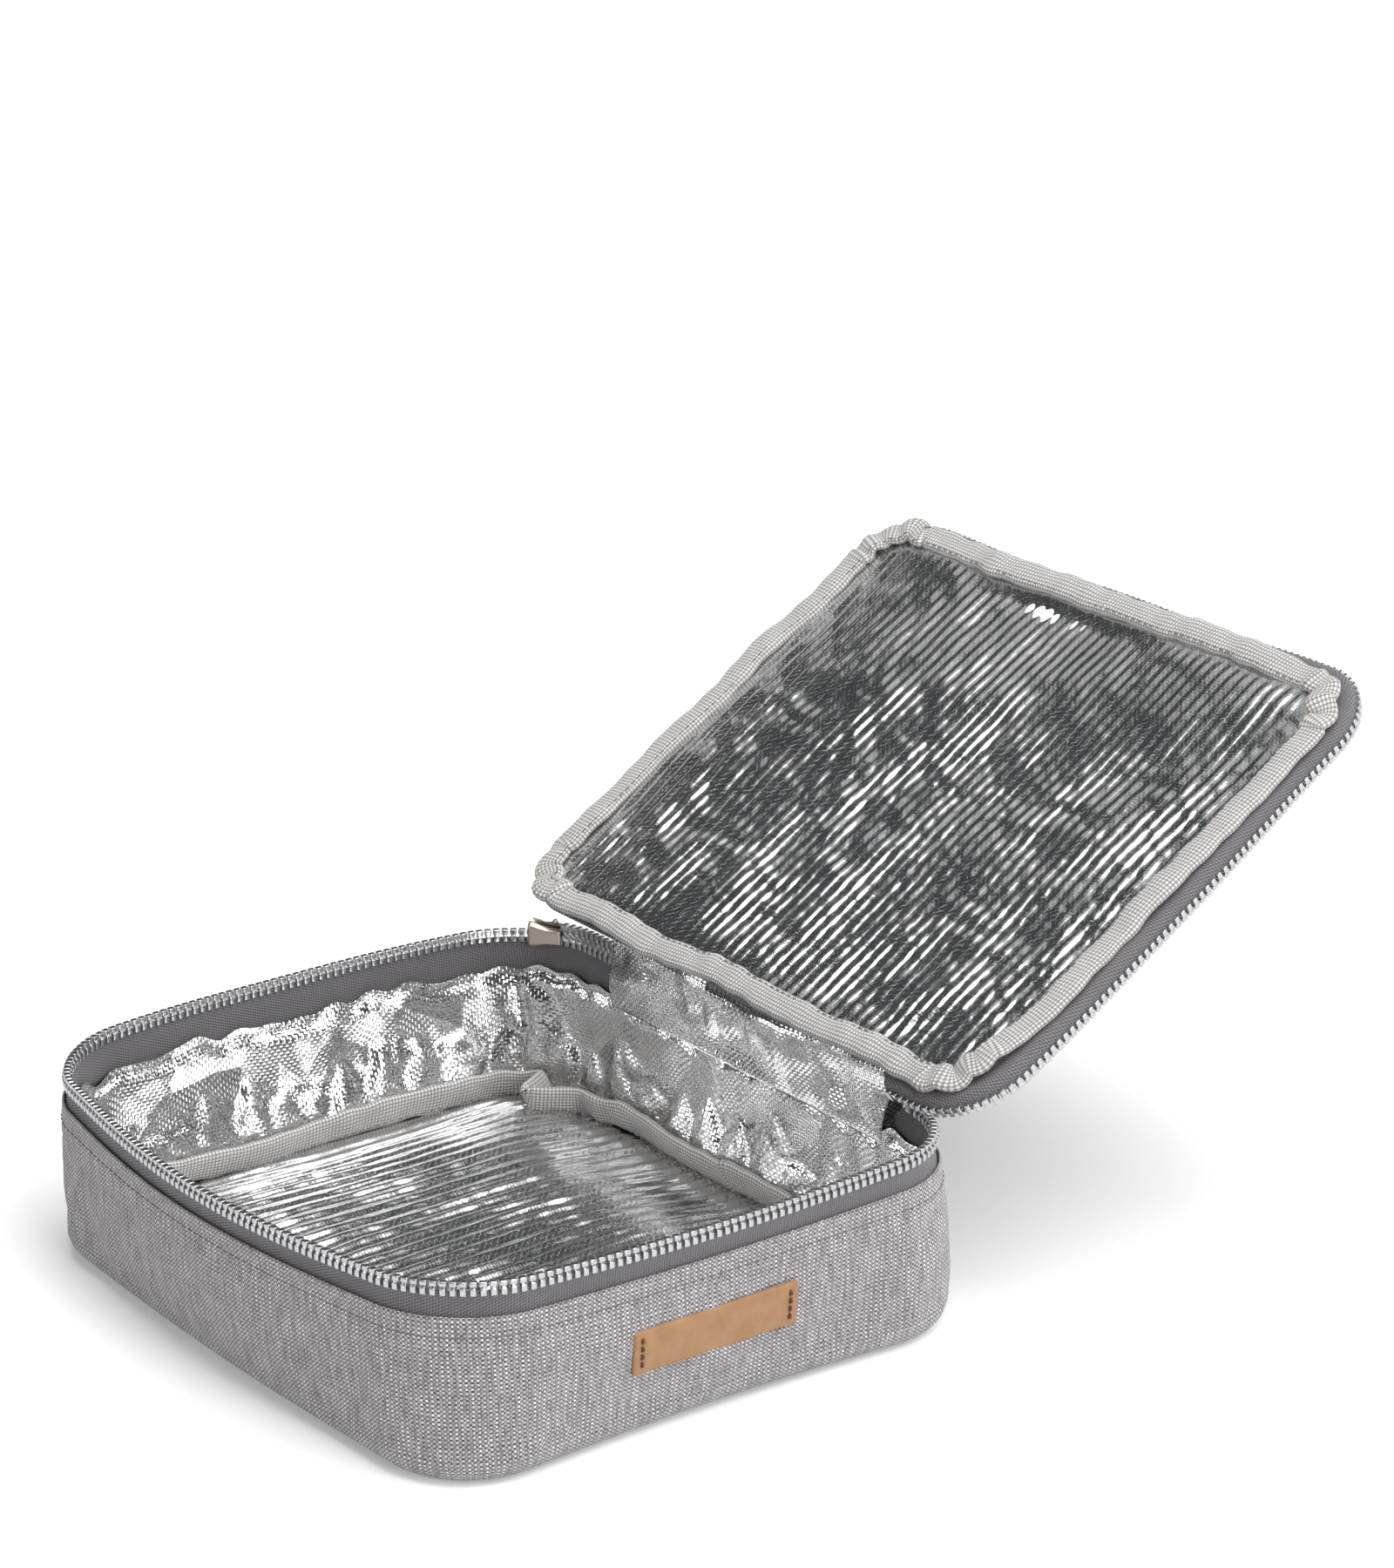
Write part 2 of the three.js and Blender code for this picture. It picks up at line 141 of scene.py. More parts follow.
BINDING_WIDTH = 9.0
BINDING_THICKNESS = 3.4
ZIP_START_X = box_mm("zip_bottom_stop")[0][0]
ZIP_END_X = box_mm("base_zip_top_stop")[1][0]
LID_ZIP_END_X = box_mm("lid_zip_top_stop")[1][0]


# ---- Shapes in numbers ----


def smooth(t):
    t = np.clip(t, 0, 1)
    return t * t * (3 - 2 * t)


def unit(v):
    return v / np.maximum(np.linalg.norm(v, axis=-1, keepdims=True), 1e-12)


def waves(seed, size, *coordinates):
    """Smooth noise between about -1 and 1, whose bumps are about `size` across."""
    dice = np.random.default_rng(seed)
    total = 0
    for _ in range(7):
        way = unit(dice.normal(size=len(coordinates)))
        length = size * dice.uniform(1.2, 3.2)
        phase = sum(w * c for w, c in zip(way, coordinates)) * 2 * math.pi / length
        total = total + np.sin(phase + dice.uniform(0, 2 * math.pi))
    return total / 3.2


def creases(seed, size, *coordinates):
    """Folded noise from 0 to 1: flat slopes that meet in sharp ridges, like creased foil."""
    dice = np.random.default_rng(seed)
    total = 0
    weight = 0
    for scale in (1.0, 0.55, 0.3):
        bent = [c + 0.35 * size * scale * waves(seed + 9, size * scale, *coordinates) for c in coordinates]
        way = unit(dice.normal(size=len(coordinates)))
        across = unit(dice.normal(size=len(coordinates)))
        for direction in (way, across):
            phase = sum(w * c for w, c in zip(direction, bent)) / (size * scale) + dice.uniform()
            total = total + scale * np.abs((phase % 1.0) * 2 - 1)
            weight += scale
    return total / weight


class RoundedRect:
    """A rounded rectangle whose sides bow outwards, about its own centre."""

    def __init__(self, centre, half, corner, left=0.0, right=0.0, low=0.0, high=0.0):
        self.centre = centre
        self.half = half
        self.corner = corner
        self.bows = (left, right, low, high)

    def grow(self, distance):
        half = (self.half[0] + distance, self.half[1] + distance)
        return RoundedRect(self.centre, half, max(self.corner + distance, 2.0), *self.bows)

    def warp(self, x, y):
        left, right, low, high = self.bows
        across = np.clip(x / self.half[0], -1, 1)
        along = np.clip(y / self.half[1], -1, 1)
        side = (1 - along**2) ** 1.5
        end = (1 - across**2) ** 1.5
        bowed_x = x + side * (right * smooth(across) - left * smooth(-across))
        bowed_y = y + end * (high * smooth(along) - low * smooth(-along))
        return np.stack([bowed_x + self.centre[0], bowed_y + self.centre[1]], axis=-1)

    def depth(self, x, y):
        """How far a point is inside the edge, before the bow."""
        qx = np.abs(x) - (self.half[0] - self.corner)
        qy = np.abs(y) - (self.half[1] - self.corner)
        outside = np.hypot(np.maximum(qx, 0), np.maximum(qy, 0))
        return self.corner - outside - np.minimum(np.maximum(qx, qy), 0)

    def edge(self, count=2400):
        """Closed, counter-clockwise points from the middle of the high side, evenly spaced."""
        hx, hy, r = self.half[0] - self.corner, self.half[1] - self.corner, self.corner
        corners = [(-hx, hy, QUARTER), (-hx, -hy, 2 * QUARTER), (hx, -hy, 3 * QUARTER), (hx, hy, 0)]
        points = [(0.0, hy + r)]
        for x, y, start in corners:
            for angle in np.linspace(start, start + QUARTER, 40):
                points.append((x + r * math.cos(angle), y + r * math.sin(angle)))
        points.append(points[0])
        points = np.array(points)
        dense = resample(points, 4 * count)
        return resample(self.warp(dense[:, 0], dense[:, 1]), count + 1)[:-1]

    def grid(self, columns, rows, height):
        """Points that fill the outline, at height(x, y, depth inside the edge)."""
        x, y = self.plate(columns, rows)
        raised = height(x, y, self.depth(x, y))
        return np.concatenate([self.warp(x, y), raised[..., None]], axis=-1)

    def plate(self, columns, rows):
        """A grid that fills the outline, as x, y before the bow: columns run along y."""
        x = np.linspace(-1, 1, columns) * self.half[0]
        over = np.clip(np.abs(x) - (self.half[0] - self.corner), 0, self.corner)
        reach = self.half[1] - self.corner + np.sqrt(self.corner**2 - over**2)
        y = np.linspace(-1, 1, rows)[:, None] * reach[None, :]
        return np.broadcast_to(x, y.shape), y


def resample(points, count):
    step = np.linalg.norm(np.diff(points, axis=0), axis=1)
    along = np.concatenate([[0], np.cumsum(step)])
    at = np.linspace(0, along[-1], count)
    return np.stack([np.interp(at, along, points[:, k]) for k in range(points.shape[1])], axis=1)


class Loop:
    """A closed edge that can be read at any fraction of its length."""

    def __init__(self, rect):
        self.points = rect.edge()
        ahead = np.roll(self.points, -1, axis=0)
        behind = np.roll(self.points, 1, axis=0)
        along = unit(ahead - behind)
        self.outward = np.stack([along[:, 1], -along[:, 0]], axis=1)
        self.length = np.linalg.norm(ahead - self.points, axis=1).sum()

    def read(self, values, fraction):
        count = len(self.points)
        at = (np.asarray(fraction) % 1.0) * count
        low = np.floor(at).astype(int) % count
        share = (at - np.floor(at))[..., None]
        return values[low] * (1 - share) + values[(low + 1) % count] * share

    def at(self, fraction):
        return self.read(self.points, fraction), unit(self.read(self.outward, fraction))

    def fraction_of(self, x, y):
        return int(np.argmin(np.hypot(*(self.points - (x, y)).T))) / len(self.points)


RIM_RECT = RoundedRect((0, 0), (HALF_WIDTH, HALF_DEPTH), CORNER, left=5.8, right=4.6, low=13.5, high=1.5)
FOOT_RECT = RoundedRect((0, 0), (HALF_WIDTH + 1.75, HALF_DEPTH + 1.75), CORNER, 0.5, -4.6, 3.1, 0.5)
RIM = Loop(RIM_RECT)
FOOT = Loop(FOOT_RECT)
LID_RECT = RoundedRect(LID_CENTRE, LID_HALF, LID_CORNER, left=1.5, right=1.5)


def wall_point(fraction, height, offset):
    """A point of the base's wall: `offset` outwards from the line that runs down from the zip's teeth."""
    fraction, height, offset = np.broadcast_arrays(fraction, height, offset)
    rim, rim_out = RIM.at(fraction)
    foot, foot_out = FOOT.at(fraction)
    t = np.clip(height / RIM_HEIGHT, 0, 1)[..., None]
    out = unit(foot_out * (1 - t) + rim_out * t)
    bulge = WALL_BULGE * np.sin(math.pi * t)
    flat = foot * (1 - t) + rim * t + out * (offset[..., None] + bulge)
    return np.concatenate([flat, height[..., None]], axis=-1)


def lid_point(x, u, n):
    """A point of the lid, from its own x, distance from the hinge and height out of its lined face."""
    x, u, n = np.broadcast_arrays(x, u, n)
    return HINGE + x[..., None] * LID_X + u[..., None] * LID_U + n[..., None] * LID_N


# ---- Meshes ----


def new_object(name, data):
    obj = bpy.data.objects.new(name, data)
    bpy.context.scene.collection.objects.link(obj)
    return obj


def piece(name, vertices, faces, slot, corner_uv=None):
    """A new smooth piece, from points in millimetres, in the material and the material slot of one name."""
    mesh = bpy.data.meshes.new(name)
    mesh.from_pydata((np.asarray(vertices).reshape(-1, 3) * MM).tolist(), [], faces)
    if corner_uv is not None:
        layer = mesh.uv_layers.new(name="cloth")
        layer.data.foreach_set("uv", np.asarray(corner_uv, np.float32).ravel())
    mesh.polygons.foreach_set("use_smooth", [True] * len(mesh.polygons))
    mesh.materials.append(MATERIALS[slot])
    obj = new_object(name, mesh)
    return obj


def install(obj, body, node):
    """Makes a piece ride a body and take the place of a CAD node."""
    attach(obj, body)
    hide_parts(node)


def grid_faces(rows, columns, closed):
    """Quads of a grid, and the row and column of each of their corners. Columns may close on themselves."""
    r, c = np.meshgrid(np.arange(rows - 1), np.arange(columns if closed else columns - 1), indexing="ij")
    corner_rows = np.stack([r, r, r + 1, r + 1], -1).reshape(-1, 4)
    corner_columns = np.stack([c, c + 1, c + 1, c], -1).reshape(-1, 4)
    return corner_rows * columns + corner_columns % columns, corner_rows, corner_columns


def sheet(name, points, slot, closed=False):
    """A grid of points as a sheet, whose UV is its own size in millimetres."""
    rows, columns = points.shape[:2]
    faces, corner_rows, corner_columns = grid_faces(rows, columns, closed)
    ring = np.concatenate([points, points[:, :1]], axis=1) if closed else points
    along = np.cumsum(np.linalg.norm(np.diff(ring, axis=1), axis=2).mean(0))
    up = np.cumsum(np.linalg.norm(np.diff(points, axis=0), axis=2).mean(1))
    along = np.concatenate([[0], along])
    up = np.concatenate([[0], up])
    uv = np.stack([along[corner_columns], up[corner_rows]], axis=-1)
    return piece(name, points, faces.tolist(), slot, uv)


def apply_modifiers(obj):
    graph = bpy.context.evaluated_depsgraph_get()
    mesh = bpy.data.meshes.new_from_object(obj.evaluated_get(graph))
    obj.modifiers.clear()
    obj.data = mesh
    return obj


def thicken(obj, thickness, offset=-1.0):
    modifier = obj.modifiers.new("thickness", "SOLIDIFY")
    modifier.thickness = thickness * MM
    modifier.offset = offset
    return apply_modifiers(obj)


def points_of(obj):
    """A piece's vertices in metres."""
    points = np.zeros(len(obj.data.vertices) * 3)
    obj.data.vertices.foreach_get("co", points)
    return points.reshape(-1, 3)


def move_points(obj, points):
    obj.data.vertices.foreach_set("co", points.ravel())
    obj.data.update()


def push_out(obj, amount, weight):
    """Moves each vertex along its normal by `amount`(x, y, z) millimetres, times its weight."""
    points = points_of(obj)
    normals = np.zeros(points.size, np.float32)
    obj.data.vertex_normals.foreach_get("vector", normals)
    shift = amount(*(points / MM).T) * np.ravel(weight)
    move_points(obj, points + normals.reshape(-1, 3) * shift[:, None] * MM)


def simulate(obj, pinned, pressure, shrink, cap, frames=14, stiffness=12.0, bending=0.3):
    """Lets a sheet move as cloth from its own shape, but holds its `pinned` points where they are.

    Each move is kept to `cap` millimetres, so that no fold can run away from its seam.
    """
    start = points_of(obj)
    group = obj.vertex_groups.new(name="pin")
    group.add(np.flatnonzero(pinned).tolist(), 1.0, "REPLACE")
    cloth = obj.modifiers.new("cloth", "CLOTH")
    settings = cloth.settings
    settings.quality = 4
    settings.mass = 0.2
    settings.tension_stiffness = stiffness
    settings.compression_stiffness = stiffness
    settings.bending_stiffness = bending
    settings.vertex_group_mass = "pin"
    settings.use_pressure = True
    settings.uniform_pressure_force = pressure
    settings.shrink_min = shrink
    settings.effector_weights.gravity = 0
    cloth.point_cache.frame_end = frames
    scene = bpy.context.scene
    for step in range(1, frames + 1):
        scene.frame_set(step)
    moved = obj.evaluated_get(bpy.context.evaluated_depsgraph_get()).data
    move = np.array([v.co for v in moved.vertices]) - start
    size = np.linalg.norm(move, axis=1, keepdims=True)
    limit = cap * MM
    move *= limit * np.tanh(size / limit) / np.maximum(size, 1e-9)
    obj.modifiers.clear()
    obj.vertex_groups.clear()
    scene.frame_set(1)
    move_points(obj, start + move)


class Path:
    """A line in space with an outward and an upward direction at each of its points."""

    def __init__(self, points, outward, upward, closed=False):
        self.points = points
        ahead = np.roll(points, -1, axis=0) if closed else np.gradient(points, axis=0) + points
        behind = np.roll(points, 1, axis=0) if closed else points - np.gradient(points, axis=0)
        self.along = unit(ahead - behind)
        self.up = unit(upward - (upward * self.along).sum(1, keepdims=True) * self.along)
        self.out = unit(np.cross(self.along, self.up))
        self.out *= np.sign((self.out * outward).sum(1, keepdims=True) + 1e-9)
        self.closed = closed
        ring = np.concatenate([points, points[:1]]) if closed else points
        self.distance = np.concatenate([[0], np.cumsum(np.linalg.norm(np.diff(ring, axis=0), axis=1))])

    def place(self, at, local):
        """Local (along, out, up) points set down at distances `at`, as an array (places, points, 3)."""
        total = len(self.points)
        index = np.interp(at, self.distance[:total], np.arange(total))
        low = np.floor(index).astype(int)
        high = np.minimum(low + 1, total - 1)
        share = (index - low)[:, None]

        def mix(values):
            return values[low] * (1 - share) + values[high] * share

        axes = [unit(mix(v))[:, None, :] for v in (self.along, self.out, self.up)]
        return mix(self.points)[:, None, :] + sum(local[None, :, k : k + 1] * axes[k] for k in range(3))


def stamp(name, path, at, template, slot):
    """Copies of a small closed mesh set along a path, as one piece."""
    vertices, faces = template
    count = len(vertices)
    copies = [[k + i * count for k in face] for i in range(len(at)) for face in faces]
    return piece(name, path.place(np.asarray(at), vertices), copies, slot)


def rounded_block(size, centre, radius, taper=1.0, segments=2):
    """A box with rounded edges, whose top is `taper` times as wide as its foot, as (vertices, faces)."""
    made = bmesh.new()
    bmesh.ops.create_cube(made, size=1.0)
    for vertex in made.verts:
        share = taper if vertex.co.z > 0 else 1.0
        vertex.co.x *= size[0] * share
        vertex.co.y *= size[1] * share
        vertex.co.z *= size[2]
    bmesh.ops.bevel(made, geom=made.edges[:], offset=radius, segments=segments, affect="EDGES", profile=0.6)
    vertices = np.array([v.co for v in made.verts]) + np.array(centre)
    faces = [[v.index for v in face.verts] for face in made.faces]
    made.free()
    return vertices, faces


def together(*templates):
    """Several (vertices, faces) as one."""
    vertices, faces = [], []
    for points, polygons in templates:
        base = sum(len(v) for v in vertices)
        vertices.append(points)
        faces += [[k + base for k in polygon] for polygon in polygons]
    return np.concatenate(vertices), faces


def thread_template(length, radius, lift):
    """One stitch: a short thread that rises out of the cloth and dips back into it."""
    rings, sides = 7, 6
    along = np.linspace(-0.5, 0.5, rings) * length
    rise = lift * np.cos(np.linspace(-QUARTER, QUARTER, rings)) - radius * 0.6
    thick = radius * np.sqrt(np.clip(1 - (np.linspace(-1, 1, rings) * 0.97) ** 4, 0.02, 1))
    angle = np.arange(sides) * 2 * math.pi / sides
    points = [
        (a, t * math.cos(w), h + t * math.sin(w)) for a, h, t in zip(along, rise, thick) for w in angle
    ]
    faces = grid_faces(rings, sides, True)[0].tolist()
    faces += [list(range(sides))[::-1], [(rings - 1) * sides + k for k in range(sides)]]
    return np.array(points), faces


def tube_section(width, height, count=14, power=0.75):
    """A flattened round section, `width` along the first axis."""
    angle = np.arange(count) * 2 * math.pi / count
    x = np.sign(np.cos(angle)) * np.abs(np.cos(angle)) ** power
    y = np.sign(np.sin(angle)) * np.abs(np.sin(angle)) ** power
    return np.stack([x * width / 2, y * height / 2], axis=1)


# ---- Materials ----


class Paint:
    """A material whose nodes are added by short calls."""

    def __init__(self, name, **settings):
        self.material = bpy.data.materials.new(name)
        self.material.use_nodes = True
        self.tree = self.material.node_tree
        self.shader = self.tree.nodes["Principled BSDF"]
        for socket, value in settings.items():
            self.shader.inputs[socket.replace("_", " ")].default_value = value

    def node(self, kind, inputs=(), output=0, **settings):
        made = self.tree.nodes.new(kind)
        for key, value in settings.items():
            setattr(made, key, value)
        for key, value in dict(inputs).items():
            if isinstance(value, bpy.types.NodeSocket):
                self.tree.links.new(value, made.inputs[key])
            else:
                made.inputs[key].default_value = value
        return made.outputs[output]

    def math(self, operation, a, b=0.0):
        return self.node("ShaderNodeMath", {0: a, 1: b}, operation=operation)

    def cloth_uv(self):
        return self.node("ShaderNodeUVMap", uv_map="cloth")

    def turned_uv(self, degrees):
        inputs = {"Vector": self.cloth_uv(), "Angle": math.radians(degrees)}
        return self.node("ShaderNodeVectorRotate", inputs)

    def object_space(self):
        return self.node("ShaderNodeTexCoord", output=3)

    def split(self, vector):
        parts = self.node("ShaderNodeSeparateXYZ", {0: vector}).node
        return parts.outputs[0], parts.outputs[1], parts.outputs[2]

    def stretched(self, vector, x, y, z=1.0):
        return self.node("ShaderNodeMapping", {"Vector": vector, "Scale": (x, y, z)})

    def noise(self, vector, scale, detail=3.0, roughness=0.55):
        inputs = {"Vector": vector, "Scale": scale, "Detail": detail, "Roughness": roughness}
        return self.node("ShaderNodeTexNoise", inputs)

    def ramp(self, value, low, high):
        inputs = {"Value": value, "From Min": low, "From Max": high}
        return self.node("ShaderNodeMapRange", inputs)

    def blend_colours(self, share, low, high, blend_type="MIX"):
        inputs = {0: share, 6: low, 7: high}
        return self.node("ShaderNodeMix", inputs, 2, data_type="RGBA", blend_type=blend_type)

    def tint(self, value, start, end, low, high):
        """A colour that goes from `low` to `high` as a value goes from `start` to `end`."""
        return self.blend_colours(self.ramp(value, start, end), low, high)

    def times(self, *colours):
        """Colours multiplied together."""
        total = colours[0]
        for colour in colours[1:]:
            total = self.blend_colours(1.0, total, colour, "MULTIPLY")
        return total

    def vary(self, value, middle, spread):
        """Roughness that wanders about `middle`."""
        inputs = {"Value": value, "To Min": middle - spread, "To Max": middle + spread}
        self.tree.links.new(self.node("ShaderNodeMapRange", inputs), self.shader.inputs["Roughness"])

    def colour(self, socket):
        self.tree.links.new(socket, self.shader.inputs["Base Color"])

    def bump(self, height, distance, strength=1.0, under=None):
        """Bump of `distance` millimetres, over another one if there is one, as the shader's normal."""
        inputs = {"Height": height, "Strength": strength, "Distance": distance * MM}
        if under is not None:
            inputs["Normal"] = under
        normal = self.node("ShaderNodeBump", inputs)
        self.tree.links.new(normal, self.shader.inputs["Normal"])
        return normal


def rgb(red, green, blue):
    return (red, green, blue, 1.0)


def grey(value):
    return rgb(value, value, value)


WHITE = grey(1.0)


def weave(paint, uv, across, along):
    """A plain weave of threads of two widths in millimetres: which thread is on top, and the height."""
    u, v, _ = paint.split(uv)
    column = paint.math("DIVIDE", u, across)
    row = paint.math("DIVIDE", v, along)
    whole = paint.math("ADD", paint.math("FLOOR", column), paint.math("FLOOR", row))
    warp_on_top = paint.math("MODULO", paint.math("ABSOLUTE", whole), 2.0)

    def rounded(thread, shown):
        crown = paint.math("SINE", paint.math("MULTIPLY", paint.math("FRACT", thread), math.pi))
        return paint.math("MULTIPLY", shown, crown)

    under = rounded(row, paint.math("SUBTRACT", 1.0, warp_on_top))
    return warp_on_top, paint.math("ADD", rounded(column, warp_on_top), under)


def melange_fabric():
    """Light slubby warp over dark flecked weft, every other row a little darker, with painted shade between
    threads.
    """
    paint = Paint("melange_fabric", Roughness=0.88, Sheen_Weight=0.25, Sheen_Roughness=0.5)
    uv = paint.cloth_uv()
    top, height = weave(paint, uv, WARP, WEFT)
    row = paint.math("MODULO", paint.math("FLOOR", paint.math("DIVIDE", paint.split(uv)[1], WEFT)), 2.0)
    slub = paint.noise(paint.stretched(uv, 0.85, 0.1), 1.0, 4.0)
    cross = paint.noise(paint.stretched(uv, 0.05, 0.8), 1.0, 2.0)
    speck = paint.noise(uv, 1.1, 2.0, 0.7)
    warp = paint.tint(slub, 0.36, 0.66, rgb(0.4, 0.385, 0.39), rgb(0.95, 0.93, 0.93))
    weft = paint.tint(speck, 0.4, 0.62, rgb(0.06, 0.052, 0.058), rgb(0.36, 0.34, 0.35))
    threads = paint.blend_colours(top, weft, warp)
    rows = paint.blend_colours(row, rgb(0.6, 0.59, 0.6), WHITE)
    streaks = paint.tint(cross, 0.35, 0.65, rgb(0.86, 0.85, 0.86), WHITE)
    # painted shade: the colour darkens where the weave's height is low, in the hollows between the threads
    valley_shade = paint.tint(height, 0.0, 0.55, rgb(0.5, 0.48, 0.5), WHITE)
    paint.colour(paint.times(threads, paint.times(rows, streaks), valley_shade))
    paint.bump(height, 0.22, 0.9)
    return paint.material


def binding_tape():
    paint = Paint("binding_tape", Roughness=0.8, Sheen_Weight=0.3, Sheen_Roughness=0.45)
    top, height = weave(paint, paint.turned_uv(45), 0.85, 0.85)
    tone = paint.noise(paint.cloth_uv(), 0.12, 3.0)
    light = paint.blend_colours(top, rgb(0.26, 0.25, 0.24), rgb(0.66, 0.64, 0.62))
    shade = paint.tint(tone, 0.3, 0.7, grey(0.88), WHITE)
    # painted shade: the colour darkens where the weave's height is low, in the hollows between the threads
    valley_shade = paint.tint(height, 0.0, 0.5, rgb(0.62, 0.61, 0.6), WHITE)
    paint.colour(paint.times(light, shade, valley_shade))
    paint.bump(height, 0.2, 0.8)
    return paint.material


def zip_tape():
    paint = Paint("zip_tape", Roughness=0.85, Sheen_Weight=0.2, Sheen_Roughness=0.4)
    top, height = weave(paint, paint.turned_uv(35), 0.5, 0.8)
    paint.colour(paint.blend_colours(top, rgb(0.085, 0.08, 0.086), rgb(0.19, 0.18, 0.19)))
    paint.bump(height, 0.18, 0.8)
    return paint.material


def foil(name, tone, rough, facets, scrim):
    """Aluminised film: crumpled into small flat facets, over a faint woven scrim."""
    paint = Paint(name, Metallic=1.0, Base_Color=grey(tone))
    place = paint.object_space()
    drift = paint.node("ShaderNodeTexNoise", {"Vector": place, "Scale": 60.0}, 1)
    bent = paint.node("ShaderNodeMix", {0: 0.005, 4: place, 5: drift}, 1, data_type="VECTOR")
    normal = None
    for scale, depth in facets:
        cell = paint.node("ShaderNodeTexVoronoi", {"Vector": bent, "Scale": scale}).node.outputs
        away = paint.node("ShaderNodeVectorMath", {0: bent, 1: cell[2]}, operation="SUBTRACT")
        way = paint.node("ShaderNodeVectorMath", {0: cell[1], 1: (0.5, 0.5, 0.5)}, operation="SUBTRACT")
        tilt = paint.node("ShaderNodeVectorMath", {0: away, 1: way}, 1, operation="DOT_PRODUCT")
        normal = paint.bump(paint.math("MULTIPLY", tilt, scale), depth, 1.0, normal)
    _, height = weave(paint, paint.cloth_uv(), SCRIM, SCRIM)
    paint.bump(height, scrim, 1.0, normal)
    paint.vary(paint.noise(place, 160.0, 3.0), rough, 0.1)
    return paint.material


def metal(name, colour, roughness, grain):
    paint = Paint(name, Metallic=1.0, Base_Color=colour, Roughness=roughness)
    place = paint.object_space()
    paint.vary(paint.noise(paint.stretched(place, 1, 1, 6), 900.0, 2.0), roughness, grain)
    return paint.material


def leather():
    paint = Paint("leather", Roughness=0.55, Specular_IOR_Level=0.4)
    place = paint.object_space()
    mottle = paint.noise(place, 140.0, 4.0, 0.6)
    pore = paint.node("ShaderNodeTexVoronoi", {"Vector": place, "Scale": 1500.0})
    paint.colour(paint.tint(mottle, 0.3, 0.7, rgb(0.26, 0.14, 0.062), rgb(0.36, 0.2, 0.095)))
    paint.bump(pore, 0.06, 0.4)
    return paint.material


def thread(name, dark, light):
    paint = Paint(name, Roughness=0.75, Sheen_Weight=0.2)
    ply = paint.node("ShaderNodeTexWave", {"Vector": paint.object_space(), "Scale": 900.0, "Distortion": 1.5})
    # painted shade: the thread is darker in the grooves between its plies and lighter on their crowns
    paint.colour(paint.blend_colours(ply, dark, light))
    paint.bump(ply, 0.05, 0.5)
    return paint.material


def foam():
    paint = Paint("foam", Roughness=0.95)
    cell = paint.node("ShaderNodeTexVoronoi", {"Vector": paint.object_space(), "Scale": 900.0})
    # painted shade: the foam is darker in the dimples of its cells, where the bump is lowest
    paint.colour(paint.blend_colours(cell, rgb(0.6, 0.6, 0.58), rgb(0.8, 0.8, 0.78)))
    paint.bump(cell, 0.15, 0.6)
    return paint.material


MATERIALS = {
    "melange_fabric": melange_fabric(),
    "foam": foam(),
    "foil": foil("foil", 0.72, 0.18, ((38.0, 9.0), (95.0, 1.6)), scrim=0.07),
    "ribbed_foil": foil("ribbed_foil", 0.76, 0.19, ((60.0, 0.6), (170.0, 0.15)), scrim=0.012),
    "binding_tape": binding_tape(),
    "zip_tape": zip_tape(),
    "zip_metal": metal("zip_metal", rgb(0.5, 0.5, 0.51), 0.3, 0.06),
    "slider_metal": metal("slider_metal", rgb(0.6, 0.53, 0.45), 0.34, 0.08),
    "leather": leather(),
    "brown_thread": thread("brown_thread", rgb(0.05, 0.012, 0.005), rgb(0.17, 0.05, 0.022)),
    "grey_thread": thread("grey_thread", rgb(0.07, 0.065, 0.07), rgb(0.2, 0.19, 0.2)),
}


# ---- Base ----

COLUMNS = 420
AROUND = np.arange(COLUMNS) / COLUMNS
ZIP_FROM = RIM.fraction_of(ZIP_START_X, HALF_DEPTH)
ZIP_TO = RIM.fraction_of(ZIP_END_X, HALF_DEPTH)
SLIDER_AT = (RIM.fraction_of(*SLIDER_CENTRE[:2]) - ZIP_FROM) * RIM.length
MESHED_LENGTH = SLIDER_AT - SLIDER_LENGTH / 2 - 0.6


def wall_profile():
    """(offset, height) of the outer cloth: from under the base, up the wall, and folded over at its top."""
    r = BOTTOM_ROUNDING
    under = [(WALL_OUT - r - 8, 0.35), (WALL_OUT - r - 3, 0.15)]
    turn = [(WALL_OUT - r + r * math.sin(a), r - r * math.cos(a)) for a in np.linspace(0, QUARTER, 8)]
    straight = [(WALL_OUT, z) for z in np.linspace(r + 1.5, WALL_TOP - 1.5, 26)]
    hem = [(WALL_OUT, WALL_TOP - 0.5), (WALL_OUT - 0.15, WALL_TOP - 0.1), (WALL_OUT - 0.45, WALL_TOP)]
    back = [(WALL_OUT - 0.8, WALL_TOP - 0.3), (WALL_OUT - 0.85, WALL_TOP - 1.5), (WALL_OUT - 0.85, TAPE_LOW)]
    return np.array(under + turn + straight + hem + back)


def outer_wall():
    profile = wall_profile()
    offset, height = profile[:, :1], profile[:, 1:]
    rest = wall_point(AROUND[None, :], height, offset)
    from_slider = np.linalg.norm(rest[..., :2] - SLIDER_CENTRE[:2], axis=-1)
    over_tape = smooth((height - TAPE_LOW + 8) / 6)
    dent = PULLER_DENT * (1 - over_tape) + DENT_OVER_TAPE * over_tape
    pressed = dent * smooth(1 - from_slider / 22) * smooth((height - 10) / 6)
    points = wall_point(AROUND[None, :], height, offset - pressed)
    wall = sheet("outer_wall", points, "melange_fabric", closed=True)
    middle = smooth((points[..., 2] - 6) / 10) * smooth((WALL_TOP - 7 - points[..., 2]) / 8)
    middle = middle * smooth((from_slider - 10) / 25)
    pinned = (middle < 0.02).ravel()
    simulate(wall, pinned, pressure=1.2, shrink=-0.006, cap=1.6)
    soften(wall, 0.55, 34, middle)
    install(wall, "base", "base_outer_wall")


